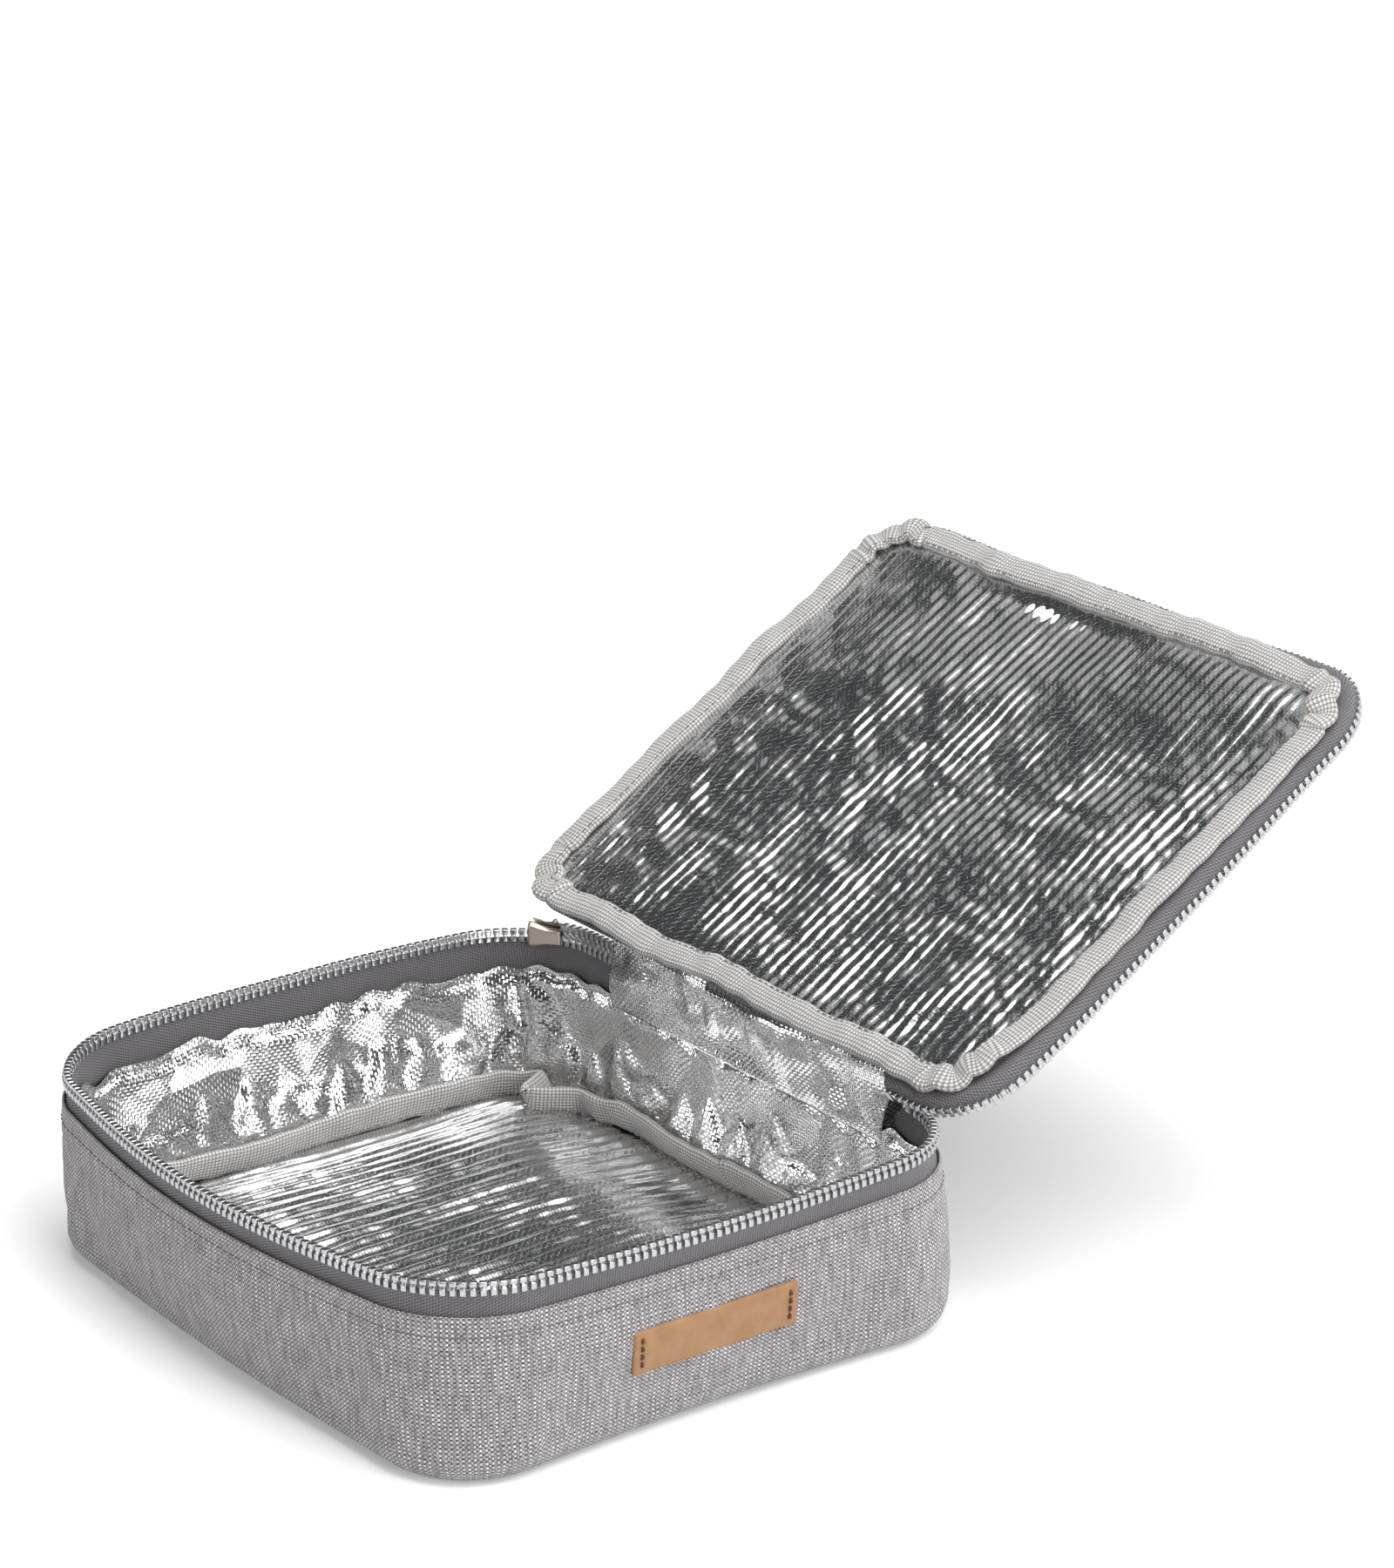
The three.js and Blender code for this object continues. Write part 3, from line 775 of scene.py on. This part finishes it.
def soften(obj, depth, size, weight):
    """Presses broad, shallow hollows into a piece."""

    def hollows(x, y, z):
        return depth * waves(3, size, x, y, 1.6 * z) + 0.25 * depth * waves(5, size / 4, x, y, z)

    push_out(obj, hollows, weight)


def bottom_panel():
    rect = FOOT_RECT.grow(WALL_OUT - BOTTOM_ROUNDING - 2.0)

    def sag(x, y, depth):
        return 0.5 + 0.5 * smooth(depth / 25) + 0.15 * waves(11, 40, x, y)

    points = rect.grid(60, 50, sag)[:, ::-1]
    panel = thicken(sheet("outer_bottom", points, "melange_fabric"), CLOTH)
    install(panel, "base", "base_outer_bottom")


def wall_foam():
    heights = np.linspace(6.0, FOAM_TOP, 12)[:, None]
    outside = wall_point(AROUND[None, ::2], heights, FOAM_OUT)
    slab = thicken(sheet("wall_foam", outside, "foam", closed=True), FOAM_OUT - FOAM_IN)
    install(slab, "base", "base_wall_foam")


def bottom_foam():
    rect = FOOT_RECT.grow(FOAM_IN - 1.5)

    def top(x, y, depth):
        return FLOOR_HEIGHT - 1.6 + (FLOOR_DOME - 1.5) * dome(rect, depth)

    slab = thicken(sheet("bottom_foam", rect.grid(50, 40, top), "foam"), BOTTOM_FOAM)
    install(slab, "base", "base_bottom_foam")


def dome(rect, depth):
    """The share of the floor's rise: from 0 at its edge to 1 at its middle."""
    return smooth(depth / (0.62 * rect.half[1])) ** 0.8


def spread(start, end, count):
    """Even fractions of a loop's length, and whether they go all the way round."""
    closed = (end - start) >= 1.0
    return start + (end - start) * np.arange(count) / (count if closed else count - 1), closed


def path_on_wall(height, offset, start=0.0, end=1.0, count=900):
    """A path round the base at a height and an offset, which may each vary along it."""
    fraction, closed = spread(start, end, count)
    points = wall_point(fraction, np.broadcast_to(height, fraction.shape), offset)
    outward = np.concatenate([RIM.at(fraction)[1], np.zeros((count, 1))], axis=1)
    upward = np.broadcast_to(np.array([0.0, 0.0, 1.0]), points.shape)
    return Path(points, outward, upward, closed)


def stitch_row(name, path, template, pitch, body, node):
    at = np.arange(0, path.distance[-1] - 2, pitch)
    install(stamp(name, path, at, template, "grey_thread"), body, node)


def topstitch():
    path = path_on_wall(TOPSTITCH, WALL_OUT + 0.05)
    lying = Path(path.points, path.up, path.out, closed=True)
    stitch_row("rim_topstitch", lying, thread_template(2.3, 0.22, 0.3), 3.1, "base", "base_rim_topstitch")


def rim_rise(fraction):
    """The chain waves a little, sinks slightly at its start, and climbs at its end to meet the lid's half."""
    from_start = (fraction - ZIP_FROM) * RIM.length
    from_end = (ZIP_TO - fraction) * RIM.length
    wave = 0.35 * waves(21, 60, fraction * RIM.length)
    return wave + 0.5 * smooth(1 - from_end / 14) - 0.2 * smooth(1 - from_start / 20)


def zip_path():
    """The middle of the base's chain."""
    fraction = np.linspace(ZIP_FROM, ZIP_TO, ZIP_POINTS)
    return path_on_wall(RIM_HEIGHT + rim_rise(fraction), 0.0, ZIP_FROM, ZIP_TO, ZIP_POINTS)


def base_tape():
    tuck = TAPE_TUCK / RIM.length
    fraction = np.linspace(ZIP_FROM - tuck, ZIP_TO + tuck, 400)
    heights = np.array([TAPE_LOW, 46, 48, 50, 51.5, 53, 54.5, 56, TEETH_LOW + 0.9])
    lean = np.array([0.0, 0.0, 0.0, -0.1, -0.35, -0.35, -0.2, 0.0, 0.0])
    ends = smooth((ZIP_FROM - fraction) / tuck) + smooth((fraction - ZIP_TO) / tuck)
    rise = (rim_rise(fraction) - 7.0 * ends)[None, :] * smooth((heights - 50) / 6)[:, None]
    points = wall_point(fraction[None, :], heights[:, None], lean[:, None] - 0.9 * ends[None, :])
    points[..., 2] += rise
    tape = thicken(sheet("base_tape", points, "zip_tape"), TAPE_THICKNESS, 0.0)
    install(tape, "base", "base_zip_tape")


def tooth():
    """One zip tooth: two legs clamped on the tape with pointed shoulders, and a rounded head above them."""
    legs = rounded_block((1.6, 3.0, 2.0), (0, 0, -0.9), 0.22)
    shoulder = rounded_block((1.5, 2.6, 1.2), (0, 0, 0.45), 0.2, taper=0.45)
    head = rounded_block((2.1, 2.0, 1.6), (0, 0, 1.15), 0.42, segments=3)
    return together(legs, shoulder, head)


def stop(height, lift=0.0):
    """A block clamped on the end of a chain."""
    return rounded_block((STOP_LENGTH, STOP_WIDTH, height), (0, 0, lift), 0.5, segments=3)


def base_teeth():
    path = zip_path()
    first = STOP_LENGTH + 1.2
    row = np.arange(first, path.distance[-1] - first, TOOTH_PITCH)
    locked_row = np.arange(first + TOOTH_PITCH / 2, MESHED_LENGTH, TOOTH_PITCH)
    up, faces = tooth()
    down = (up * np.array([1, 1, -1]) + np.array([0, 0, 3.1]), [face[::-1] for face in faces])
    from_end = STOP_LENGTH / 2 + 0.3
    for name, at, template, node in (
        ("base_teeth", row, (up, faces), "base_zip_teeth"),
        ("meshed_teeth", locked_row, down, "zip_meshed_teeth"),
        ("bottom_stop", [from_end], stop(6.6, 1.5), "zip_bottom_stop"),
        ("base_top_stop", [path.distance[-1] - from_end], stop(3.6), "base_zip_top_stop"),
    ):
        install(stamp(name, path, at, template, "zip_metal"), "base", node)


def wall_lining():
    """The foil inside the wall: slack, folded at the corners, and ending raggedly under the tape."""
    fraction = np.arange(620) / 620
    t = np.linspace(0, 1, 46)[:, None]
    distance = fraction[None, :] * RIM.length
    top = LINING_TOP + 1.3 * waves(31, 9, distance) + 0.9 * waves(32, 26, distance)
    height = FLOOR_HEIGHT + 0.5 + t * (top - FLOOR_HEIGHT - 0.5)
    lean = LINING_OUT - 3.2 * (1 - smooth(t * 2.2)) + 2.6 * smooth((t - 0.86) / 0.14)
    points = wall_point(fraction[None, :], height, lean)
    lining = sheet("wall_lining", points, "foil", closed=True)
    outward = np.broadcast_to(RIM.at(fraction)[1][None, :, :], points.shape[:2] + (2,)).reshape(-1, 2)
    edge = np.broadcast_to((t < 0.03) | (t > 0.97), points.shape[:2]).ravel()
    simulate(lining, edge, pressure=0.3, shrink=-0.045, cap=2.4, frames=16, stiffness=8, bending=0.05)
    free = smooth(t / 0.1) * (1 - smooth((t - 0.93) / 0.07))
    crumple(lining, 0.9, 1.7, np.broadcast_to(free, points.shape[:2]))
    hold_inside(lining, points.reshape(-1, 3), outward, LINING_SLACK)
    install(lining, "base", "base_wall_lining")


def hold_inside(obj, start, outward, most):
    """Lets no point of a piece be more than `most` mm further out than it started."""
    points = points_of(obj)
    moved = np.sum((points[:, :2] / MM - start[:, :2]) * outward, axis=1)
    points[:, :2] -= outward * np.maximum(moved - most, 0)[:, None] * MM
    move_points(obj, points)


def crumple(obj, fine, coarse, weight):
    """Adds foil folds to a piece: long soft ones and short sharp ones."""

    def folds(x, y, z):
        broad = coarse * (creases(41, 38, x, y, 0.8 * z) - 0.5) * 2
        return broad + fine * (creases(43, 11, x, y, z) - 0.5)

    push_out(obj, folds, weight)


def ribs(x, y, pitch, depth, seed):
    """The raised ribs of foil on foam, which wander, break up and vary in depth."""
    wander = 0.3 * pitch * waves(seed, 55, x, y) + 0.035 * pitch * waves(seed + 1, 7, x, y)
    phase = (x + wander) / pitch
    ridge = 0.5 - 0.5 * np.cos(2 * math.pi * phase)
    strength = 0.9 + 0.25 * waves(seed + 2, 14, x, 0.5 * y)
    return depth * ridge * strength + 0.045 * depth * waves(seed + 3, 3.4, x, y)


def floor_lining():
    rect = FOOT_RECT.grow(LINING_OUT - 0.5)

    def height(x, y, depth):
        level = FLOOR_HEIGHT - 0.4 + FLOOR_DOME * dome(rect, depth)
        relief = ribs(x, y, FLOOR_RIB, 1.15, 51) + 0.6 * (creases(55, 60, x, y) - 0.5)
        return level + smooth(depth / 8) * relief

    floor = sheet("floor_lining", rect.grid(460, 150, height), "ribbed_foil")
    install(floor, "base", "base_floor_lining")


def floor_binding():
    """The tape over the floor's seam: it stands against the wall, waves, and kinks at a back corner."""
    count = 700
    fraction = np.arange(count) / count
    distance = fraction * RIM.length
    kink = (fraction - FLOOR_KINK) * RIM.length
    inward = 12.0 * np.exp(-((kink / 13) ** 2)) * (1 + 0.7 * np.sin(kink / 5.0))
    offset = -9.0 - inward + 0.9 * waves(61, 30, distance)
    height = FLOOR_HEIGHT + 4.6 + 0.8 * waves(62, 34, distance) + 2.6 * np.exp(-(((kink - 10) / 12) ** 2))
    path = path_on_wall(height, offset, count=count)
    section = tube_section(3.2, BINDING_WIDTH + 1.5, 18)
    lean = math.radians(20)
    turn = np.array([[math.cos(lean), math.sin(lean)], [-math.sin(lean), math.cos(lean)]])
    binding = sweep("floor_binding", path, section @ turn, "binding_tape", pucker=0.45)
    install(binding, "base", "base_floor_binding")
    inner = path.points - path.out * 2.6 - path.up * 2.4
    seam = Path(inner, path.up, -path.out, closed=True)
    template = thread_template(2.1, 0.2, 0.3)
    stitch_row("floor_stitches", seam, template, STITCH_PITCH, "base", "floor_binding_stitch")


def sweep(name, path, section, slot, pucker=0.0):
    """A closed section carried along a path; its UV runs round the section and along the path.

    The section's first point is repeated, for the UV, and then welded to itself.
    """
    count, sides = len(path.points), len(section)
    local = np.concatenate([np.zeros((sides, 1)), section], axis=1)
    rings = path.place(path.distance[:count], local)
    if pucker:
        s = path.distance[:count, None]
        a = np.arange(sides)[None, :] * 2 * math.pi / sides
        swell = pucker * waves(71, 5.5, s + 0 * a, 3 * np.cos(a) + 0 * s, 3 * np.sin(a) + 0 * s)
        rings = rings + unit(rings - path.points[:, None, :]) * swell[..., None]
    points = rings.transpose(1, 0, 2)[::-1]
    made = sheet(name, np.concatenate([points, points[:1]]), slot, closed=path.closed)
    made.modifiers.new("weld", "WELD").merge_threshold = 1e-6
    return apply_modifiers(made)


# ---- Cloth hinge ----


def hinge_strips():
    """The hinge's cloth and foil. Each bends between the base and the lid, over its own stretch of height."""
    low, high = box_mm("hinge_lining")
    rows, columns = 26, 150
    x = np.linspace(low[0], high[0], columns)
    y, z = HINGE[1], HINGE[2]
    wall = HALF_DEPTH
    outside = [(wall + 3.0, 49.0), (wall + 3.1, 54), (wall + 3.6, 60), (y + 5.2, 64.4), (y + 8.5, 67.6)]
    inside = [(wall - 4.6, 45.6), (wall - 4.4, 52), (wall - 4.6, 60), (y - 1.4, 66.6), (y + 2.4, 71.2)]
    cloth_bend = ((0, y + 5.0, z - 12.0), (0, y + 8.0, z - 2.2))
    foil_bend = ((0, y - 3.5, z - 11.0), (0, y + 1.6, z + 1.4))
    across = np.broadcast_to(x, (rows, columns))
    middle = np.broadcast_to(np.sin(np.linspace(0, math.pi, rows))[:, None], (rows, columns))
    for name, node, line, slot, depth, bend in (
        ("hinge_cloth", "hinge_outer_fabric", outside, "melange_fabric", 0.5, cloth_bend),
        ("hinge_foil", "hinge_lining", inside, "foil", 1.5, foil_bend),
    ):
        profile = resample(np.array(line, float), rows)
        up = np.broadcast_to(profile[:, 1:], (rows, columns))
        points = np.stack([across, profile[:, :1] + depth * middle * waves(81, 18, across, up), up], axis=-1)
        if slot == "foil":
            strip = sheet(name, points, slot)
            crumple(strip, 0.7, 1.7, middle)
        else:
            strip = sheet(name, points[:, ::-1], slot)
        thicken(strip, HINGE_CLOTH)
        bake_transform(strip)
        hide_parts(node)


# ---- Label ----


def label():
    low, high = box_mm("leather_label")
    y0, y1, z0, z1 = low[1], high[1], low[2], high[2]
    rect = RoundedRect(((y0 + y1) / 2, (z0 + z1) / 2), ((y1 - y0) / 2, (z1 - z0) / 2), 1.2)
    x, y = rect.plate(90, 26)
    flat = rect.warp(x, y)
    edge = smooth(rect.depth(x, y) / 0.9)
    hole = sum(np.exp(-(((flat[..., 0] - c) / 1.0) ** 2)) for c in (y0 + 3, y1 - 3))
    inside = np.abs(flat[..., 1] - (z0 + z1) / 2) < (z1 - z0) / 2 - 1.6
    lift = WALL_OUT + 0.5 + 1.0 * edge - 0.25 * hole * inside + 0.05 * waves(91, 7, x, y)
    start = RIM.fraction_of(HALF_WIDTH + 4.6, 0)
    fraction = start + flat[..., 0] / RIM.length
    points = wall_point(fraction, flat[..., 1], lift + 0.25)
    install(thicken(sheet("label_panel", points, "leather"), LEATHER), "base", "leather_label")
    for name, node, at in (
        ("label_stitches_front", "label_thread_front", y0 + 3),
        ("label_stitches_back", "label_thread_back", y1 - 3),
    ):
        heights = np.linspace(z0 + 2.2, z1 - 2.2, 60)
        line = wall_point(start + at / RIM.length, heights, WALL_OUT + 1.55)
        path = Path(line, np.tile([0.0, 1.0, 0.0], (60, 1)), np.tile([1.0, 0.0, 0.0], (60, 1)))
        spots = np.linspace(1.2, path.distance[-1] - 1.2, 4)
        install(stamp(name, path, spots, thread_template(2.2, 0.55, 0.7), "brown_thread"), "base", node)


# ---- Slider ----


def slider_plate(path, side):
    """One of the slider's two plates, on the inner (-1) or outer (1) side of the tape.

    It is tall at its leading shoulder and low at its tail, and its long edges roll in over the teeth.
    """
    t = np.linspace(0, 1, 44)[None, :]
    across = np.linspace(-1, 1, 29)[:, None]
    half = 4.3 - 1.5 * smooth(t) - 0.4 * np.sin(math.pi * t) ** 2
    rolled = smooth((np.abs(across) - 0.68) / 0.32)
    near_edge = np.minimum(1 - np.abs(across), np.minimum(t, 1 - t) * 2)
    swell = 0.62 * (0.35 + 0.65 * np.sqrt(np.clip(near_edge / 0.12, 0, 1)))
    middle = side * (2.75 - 1.25 * rolled)
    faces = []
    for sign in (side, -side):
        grid = np.broadcast_arrays((0.5 - t) * SLIDER_LENGTH, middle + sign * swell, across * half + 0.8)
        local = np.stack(grid, axis=-1)
        faces.append(path.place(np.array([SLIDER_AT]), local.reshape(-1, 3))[0].reshape(local.shape))
    return closed_pair(*faces)


def closed_pair(front, back):
    """Two equal grids joined round their edge into one closed body."""
    rows, columns = front.shape[:2]
    total = rows * columns
    front_faces = grid_faces(rows, columns, False)[0]
    back_faces = front_faces[:, ::-1] + total
    ring = [(0, c) for c in range(columns)] + [(r, columns - 1) for r in range(1, rows)]
    ring += [(rows - 1, c) for c in range(columns - 2, -1, -1)] + [(r, 0) for r in range(rows - 2, 0, -1)]
    index = [r * columns + c for r, c in ring]
    rim = [[b, a, a + total, b + total] for a, b in zip(index, index[1:] + index[:1])]
    faces = front_faces.tolist() + back_faces.tolist() + rim
    return np.concatenate([front.reshape(-1, 3), back.reshape(-1, 3)]), faces


def slider():
    path = zip_path()
    vertices, faces = rounded_block((2.4, 3.6, 2.4), (3.8, 0, 2.2), 0.4)
    post = (path.place(np.array([SLIDER_AT]), vertices)[0], faces)
    vertices, faces = together(slider_plate(path, -1), slider_plate(path, 1), post)
    install(piece("slider_body", vertices, faces, "slider_metal"), "slider", "zip_slider_body")


def at_slider(radial, round_corner, height):
    """Points given from the corner's axis: outwards past the slider, round the corner, and up."""
    axis = np.array(JOINTS["slider_run"]["pos_m"]) / MM
    out = unit(SLIDER_CENTRE[:2] - axis[:2])
    radial, round_corner, height = np.broadcast_arrays(radial, round_corner, height)
    x = axis[0] + radial * out[0] - round_corner * out[1]
    y = axis[1] + radial * out[1] + round_corner * out[0]
    return np.stack([x, y, height], axis=-1)


def wire(name, path, radius):
    return sweep(name, path, tube_section(2 * radius, 2 * radius, 12, 1.0), "slider_metal")


def slider_crown():
    """The wire loop on the outer plate that the puller's ring hangs from."""
    angle = np.linspace(-QUARTER, QUARTER, 40)
    radial = CORNER + 2.6 + 3.0 * np.cos(angle) ** 0.5
    points = at_slider(radial, 3.5 * np.sin(angle), BAR_HEIGHT)
    up = np.broadcast_to(np.array([0.0, 0.0, 1.0]) + 0.01, points.shape)
    path = Path(points, np.cross(np.gradient(points, axis=0), up), up)
    install(wire("crown_loop", path, CROWN_WIRE), "slider", "slider_crown")


def puller():
    """The ring, and the flat tab that hangs on it with its edges rounded off."""
    low, high = box_mm("puller_ring")
    radius = (high[2] - low[2]) / 2 - RING_WIRE
    angle = np.arange(48) * 2 * math.pi / 48
    radial = CORNER + 5.6 + radius * np.cos(angle)
    points = at_slider(radial, 0.0, (low[2] + high[2]) / 2 + radius * np.sin(angle))
    across = np.broadcast_to(at_slider(0.0, 1.0, 0.0) - at_slider(0.0, 0.0, 0.0), points.shape)
    path = Path(points, across, across, closed=True)
    install(wire("puller_loop", path, RING_WIRE), "puller", "puller_ring")
    tab = new_object("puller_plate", frame["nodes"]["puller_tab"].data.copy())
    tab.data.materials.clear()
    tab.data.materials.append(MATERIALS["slider_metal"])
    bevel = tab.modifiers.new("bevel", "BEVEL")
    bevel.width = 0.28 * MM
    bevel.segments = 3
    bevel.limit_method = "ANGLE"
    apply_modifiers(tab)
    install(tab, "puller", "puller_tab")


# ---- Lid ----

LID_LOOP = Loop(LID_RECT)


def lid_path(offset, n, start=0.0, end=1.0, count=900):
    """A path round the lid's edge, `offset` outwards, at a height out of the lined face."""
    fraction, closed = spread(start, end, count)
    flat, out = LID_LOOP.at(fraction)
    flat = flat + out * np.broadcast_to(offset, fraction.shape)[:, None]
    points = lid_point(flat[:, 0], flat[:, 1], np.broadcast_to(n, fraction.shape))
    outward = out[:, :1] * LID_X + out[:, 1:] * LID_U
    upward = np.broadcast_to(LID_N, points.shape)
    return Path(points, outward, upward, closed)


def lid_points(inset, columns, rows, height):
    """A grid over the lid, `inset` from its edge, at height(x, y, depth inside the lid's edge)."""
    rect = LID_RECT.grow(-inset)
    grid = rect.grid(columns, rows, lambda x, y, depth: height(x, y, depth + inset))
    return lid_point(grid[..., 0], grid[..., 1], grid[..., 2])


def from_hinge(y):
    """How far a point of the lid is from its hinge edge, from its y about the lid's centre."""
    return y + LID_HALF[1]


def cover_height(x, y, depth):
    """The outer cloth's height behind the lined face: rounded at its edges, and thinner beside the hinge."""
    edge = np.sqrt(np.clip(1 - (1 - np.clip(depth / 5.5, 0, 1)) ** 2, 0, 1))
    full = LID_THICKNESS + 1.6 * smooth(depth / 70) - 2.6 * smooth(1 - from_hinge(y) / 26)
    return -0.6 - (full - 0.6) * edge


def lid_outer():
    columns, rows, inset = 150, 120, 0.2
    points = lid_points(inset, columns, rows, cover_height)
    cover = sheet("lid_outer", points[:, ::-1], "melange_fabric")
    rect = LID_RECT.grow(-inset)
    x, y = rect.plate(columns, rows)
    free = smooth((rect.depth(x, y) - 4) / 8) * smooth((from_hinge(y) - 22) / 20)
    weight = free[:, ::-1].ravel()
    simulate(cover, weight < 0.02, pressure=0.9, shrink=-0.004, cap=1.8)
    soften(cover, 0.5, 36, weight)
    thicken(cover, LID_CLOTH)
    install(cover, "lid", "lid_outer_panel")


def lid_foam():
    """The foam between the lining and the outer cloth; it stays PAD_GAP clear of the cloth."""

    def top(x, y, depth):
        return -1.2 - 0.8 * smooth(depth / 60)

    def bottom(x, y, depth):
        return cover_height(x, y, depth) + PAD_GAP

    faces = [lid_points(PAD_INSET, 90, 70, height) for height in (top, bottom)]
    slab = piece("lid_pad", *closed_pair(*faces), "foam")
    install(slab, "lid", "lid_foam")


def lining_height(x, y, depth):
    """The lid's foil: ribs that are deepest beside the hinge, over folds roughest there and on the right."""
    edge = smooth((depth - 4) / 12)
    dish = -0.4 * edge + 1.0 * waves(95, 60, x, y) * edge
    low = smooth((DEEP_RIBS_END - from_hinge(y)) / RIB_FADE)
    lowest = smooth(1 - from_hinge(y) / RIB_FADE)
    rough = 0.25 + 0.75 * low + 0.6 * smooth((x - 75) / 25)
    folds = 1.5 * (creases(97, 60, x, y) - 0.5) + 0.7 * rough * (creases(99, 16, x, y) - 0.5)
    return 0.3 + dish + edge * (ribs(x, y, LID_RIB, 0.36, 101) * (1 + 0.4 * low + 0.3 * lowest) + folds)


def lid_lining():
    lining = sheet("lid_foil", lid_points(2.0, 620, 190, lining_height), "ribbed_foil")
    install(lining, "lid", "lid_lining")


def lid_binding():
    count = 900
    fraction = np.arange(count) / count
    distance = fraction * LID_LOOP.length
    bend = np.linalg.norm(np.gradient(LID_LOOP.at(fraction)[1], axis=0), axis=1)
    corner = smooth(bend / bend.max() * 1.5)
    puckers = 1.1 * corner * waves(113, 8, distance)
    offset = -BINDING_WIDTH / 2 + 0.2 + 0.7 * waves(111, 34, distance) + puckers
    n = 1.4 + 0.5 * waves(112, 24, distance) + 0.8 * corner * (1 + waves(114, 6, distance))
    path = lid_path(offset, n, count=count)
    section = tube_section(BINDING_WIDTH, BINDING_THICKNESS, 18)
    binding = sweep("lid_edge_binding", path, section, "binding_tape", pucker=0.4)
    install(binding, "lid", "lid_binding")
    seam = lid_path(offset - 3.3, n + 1.25, count=count)
    template = thread_template(2.1, 0.2, 0.35)
    stitch_row("lid_stitches", seam, template, STITCH_PITCH, "lid", "lid_binding_stitch")


def lid_zip():
    start = LID_LOOP.fraction_of(LID_ZIP_END_X, LID_EDGE_LOW)
    end = 1 + LID_LOOP.fraction_of(LID_CENTRE[0] - LID_HALF[0], 9.0)
    count = 1200
    fraction = start + (end - start) * np.arange(count) / (count - 1)
    along = (fraction - start) * LID_LOOP.length
    flare = 1.2 * waves(121, 70, along) * smooth(along / 70)
    flat = [(-4.2, -0.9), (-2.6, -0.9), (-0.6, -0.9), (0.8, -1.0)]
    rows = flat + [(1.9, -1.5), (2.3, -2.4), (2.4, -3.6), (2.4, -4.9)]
    lines = [lid_path(o + flare * smooth(-n / 2.5), n, start, end, count).points[::3] for o, n in rows]
    tape = thicken(sheet("lid_tape", np.array(lines), "zip_tape"), TAPE_THICKNESS, 0.0)
    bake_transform(tape)
    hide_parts("lid_zip_tape")
    path = lid_path(LID_CHAIN + flare, LID_TEETH_TOP - 1.8, start, end, count)
    down = Path(path.points, path.out, -path.up)
    at = np.arange(4.5, down.distance[-1] - 1.5, TOOTH_PITCH)
    install(stamp("lid_teeth", down, at, tooth(), "zip_metal"), "lid_zip", "lid_zip_teeth")
    install(stamp("lid_top_stop", down, [1.6], stop(3.6), "zip_metal"), "lid_zip", "lid_zip_top_stop")


# ---- Stage ----

CAMERA_AT = Vector((1.163956, -0.759784, 0.645520))
CAMERA_TARGET = Vector((0.048598, 0.039539, 0.159544))
CAMERA_ROLL = math.radians(-1.0)
CAMERA_LENS = 118.62


def camera():
    data = bpy.data.cameras.new("camera")
    data.lens = CAMERA_LENS
    data.sensor_width = 36
    data.sensor_fit = "AUTO"
    data.clip_end = 50
    obj = new_object("camera", data)
    look = (CAMERA_TARGET - CAMERA_AT).to_track_quat("-Z", "Y").to_matrix().to_4x4()
    obj.matrix_world = Matrix.Translation(CAMERA_AT) @ look @ Matrix.Rotation(CAMERA_ROLL, 4, "Z")
    bpy.context.scene.camera = obj


def softbox(name, place, target, size, power):
    light = bpy.data.lights.new(name, "AREA")
    light.shape = "RECTANGLE"
    light.size, light.size_y = size
    light.energy = power
    obj = new_object(name, light)
    obj.location = place
    obj.rotation_euler = (Vector(target) - Vector(place)).to_track_quat("-Z", "Y").to_euler()


def stage():
    mesh = bpy.data.meshes.new("floor")
    mesh.from_pydata([(-8, -8, 0), (8, -8, 0), (8, 8, 0), (-8, 8, 0)], [], [(0, 1, 2, 3)])
    ground = new_object("floor", mesh)
    paint = Paint("floor", Base_Color=rgb(0.8, 0.8, 0.8), Roughness=0.9)
    paint.shader.inputs["Emission Color"].default_value = rgb(1, 1, 1)
    # The floor glows with painted light: weakest near the bag so that its shadow stays, and full far off,
    # where the lamps' light falls off.
    away = paint.node("ShaderNodeVectorMath", {0: paint.object_space()}, output=1, operation="LENGTH")
    painted_glow = {"Value": away, "From Min": 0.45, "From Max": 2.2, "To Min": 0.2, "To Max": 1.0}
    strength = paint.node("ShaderNodeMapRange", painted_glow, interpolation_type="SMOOTHSTEP")
    paint.tree.links.new(strength, paint.shader.inputs["Emission Strength"])
    mesh.materials.append(paint.material)
    world = bpy.data.worlds.new("world")
    world.use_nodes = True
    world.node_tree.nodes["Background"].inputs[0].default_value = rgb(0.9, 0.95, 1.0)
    world.node_tree.nodes["Background"].inputs[1].default_value = 0.055
    bpy.context.scene.world = world
    bpy.context.scene.view_settings.view_transform = "Standard"
    softbox("top", (0.7, 0.35, 2.6), (0, 0.1, 0), (2.0, 3.0), 104)
    softbox("right", (2.3, -0.2, 1.1), (0, 0, 0.05), (0.9, 1.5), 30)
    softbox("front", (-0.9, -2.2, 0.9), (0, 0, 0.05), (1.6, 0.8), 16)
    softbox("behind", (1.0, 2.6, 1.2), (0, 0.1, 0.05), (1.4, 0.8), 15)
    softbox("card", (-1.05, 0.3, 2.6), (0, 0, 0), (1.0, 2.6), 3)


# ---- Assembly ----

camera()
stage()
outer_wall()
bottom_panel()
wall_foam()
bottom_foam()
topstitch()
base_tape()
base_teeth()
wall_lining()
floor_lining()
floor_binding()
hinge_strips()
label()
slider()
slider_crown()
puller()
lid_outer()
lid_foam()
lid_lining()
lid_binding()
lid_zip()
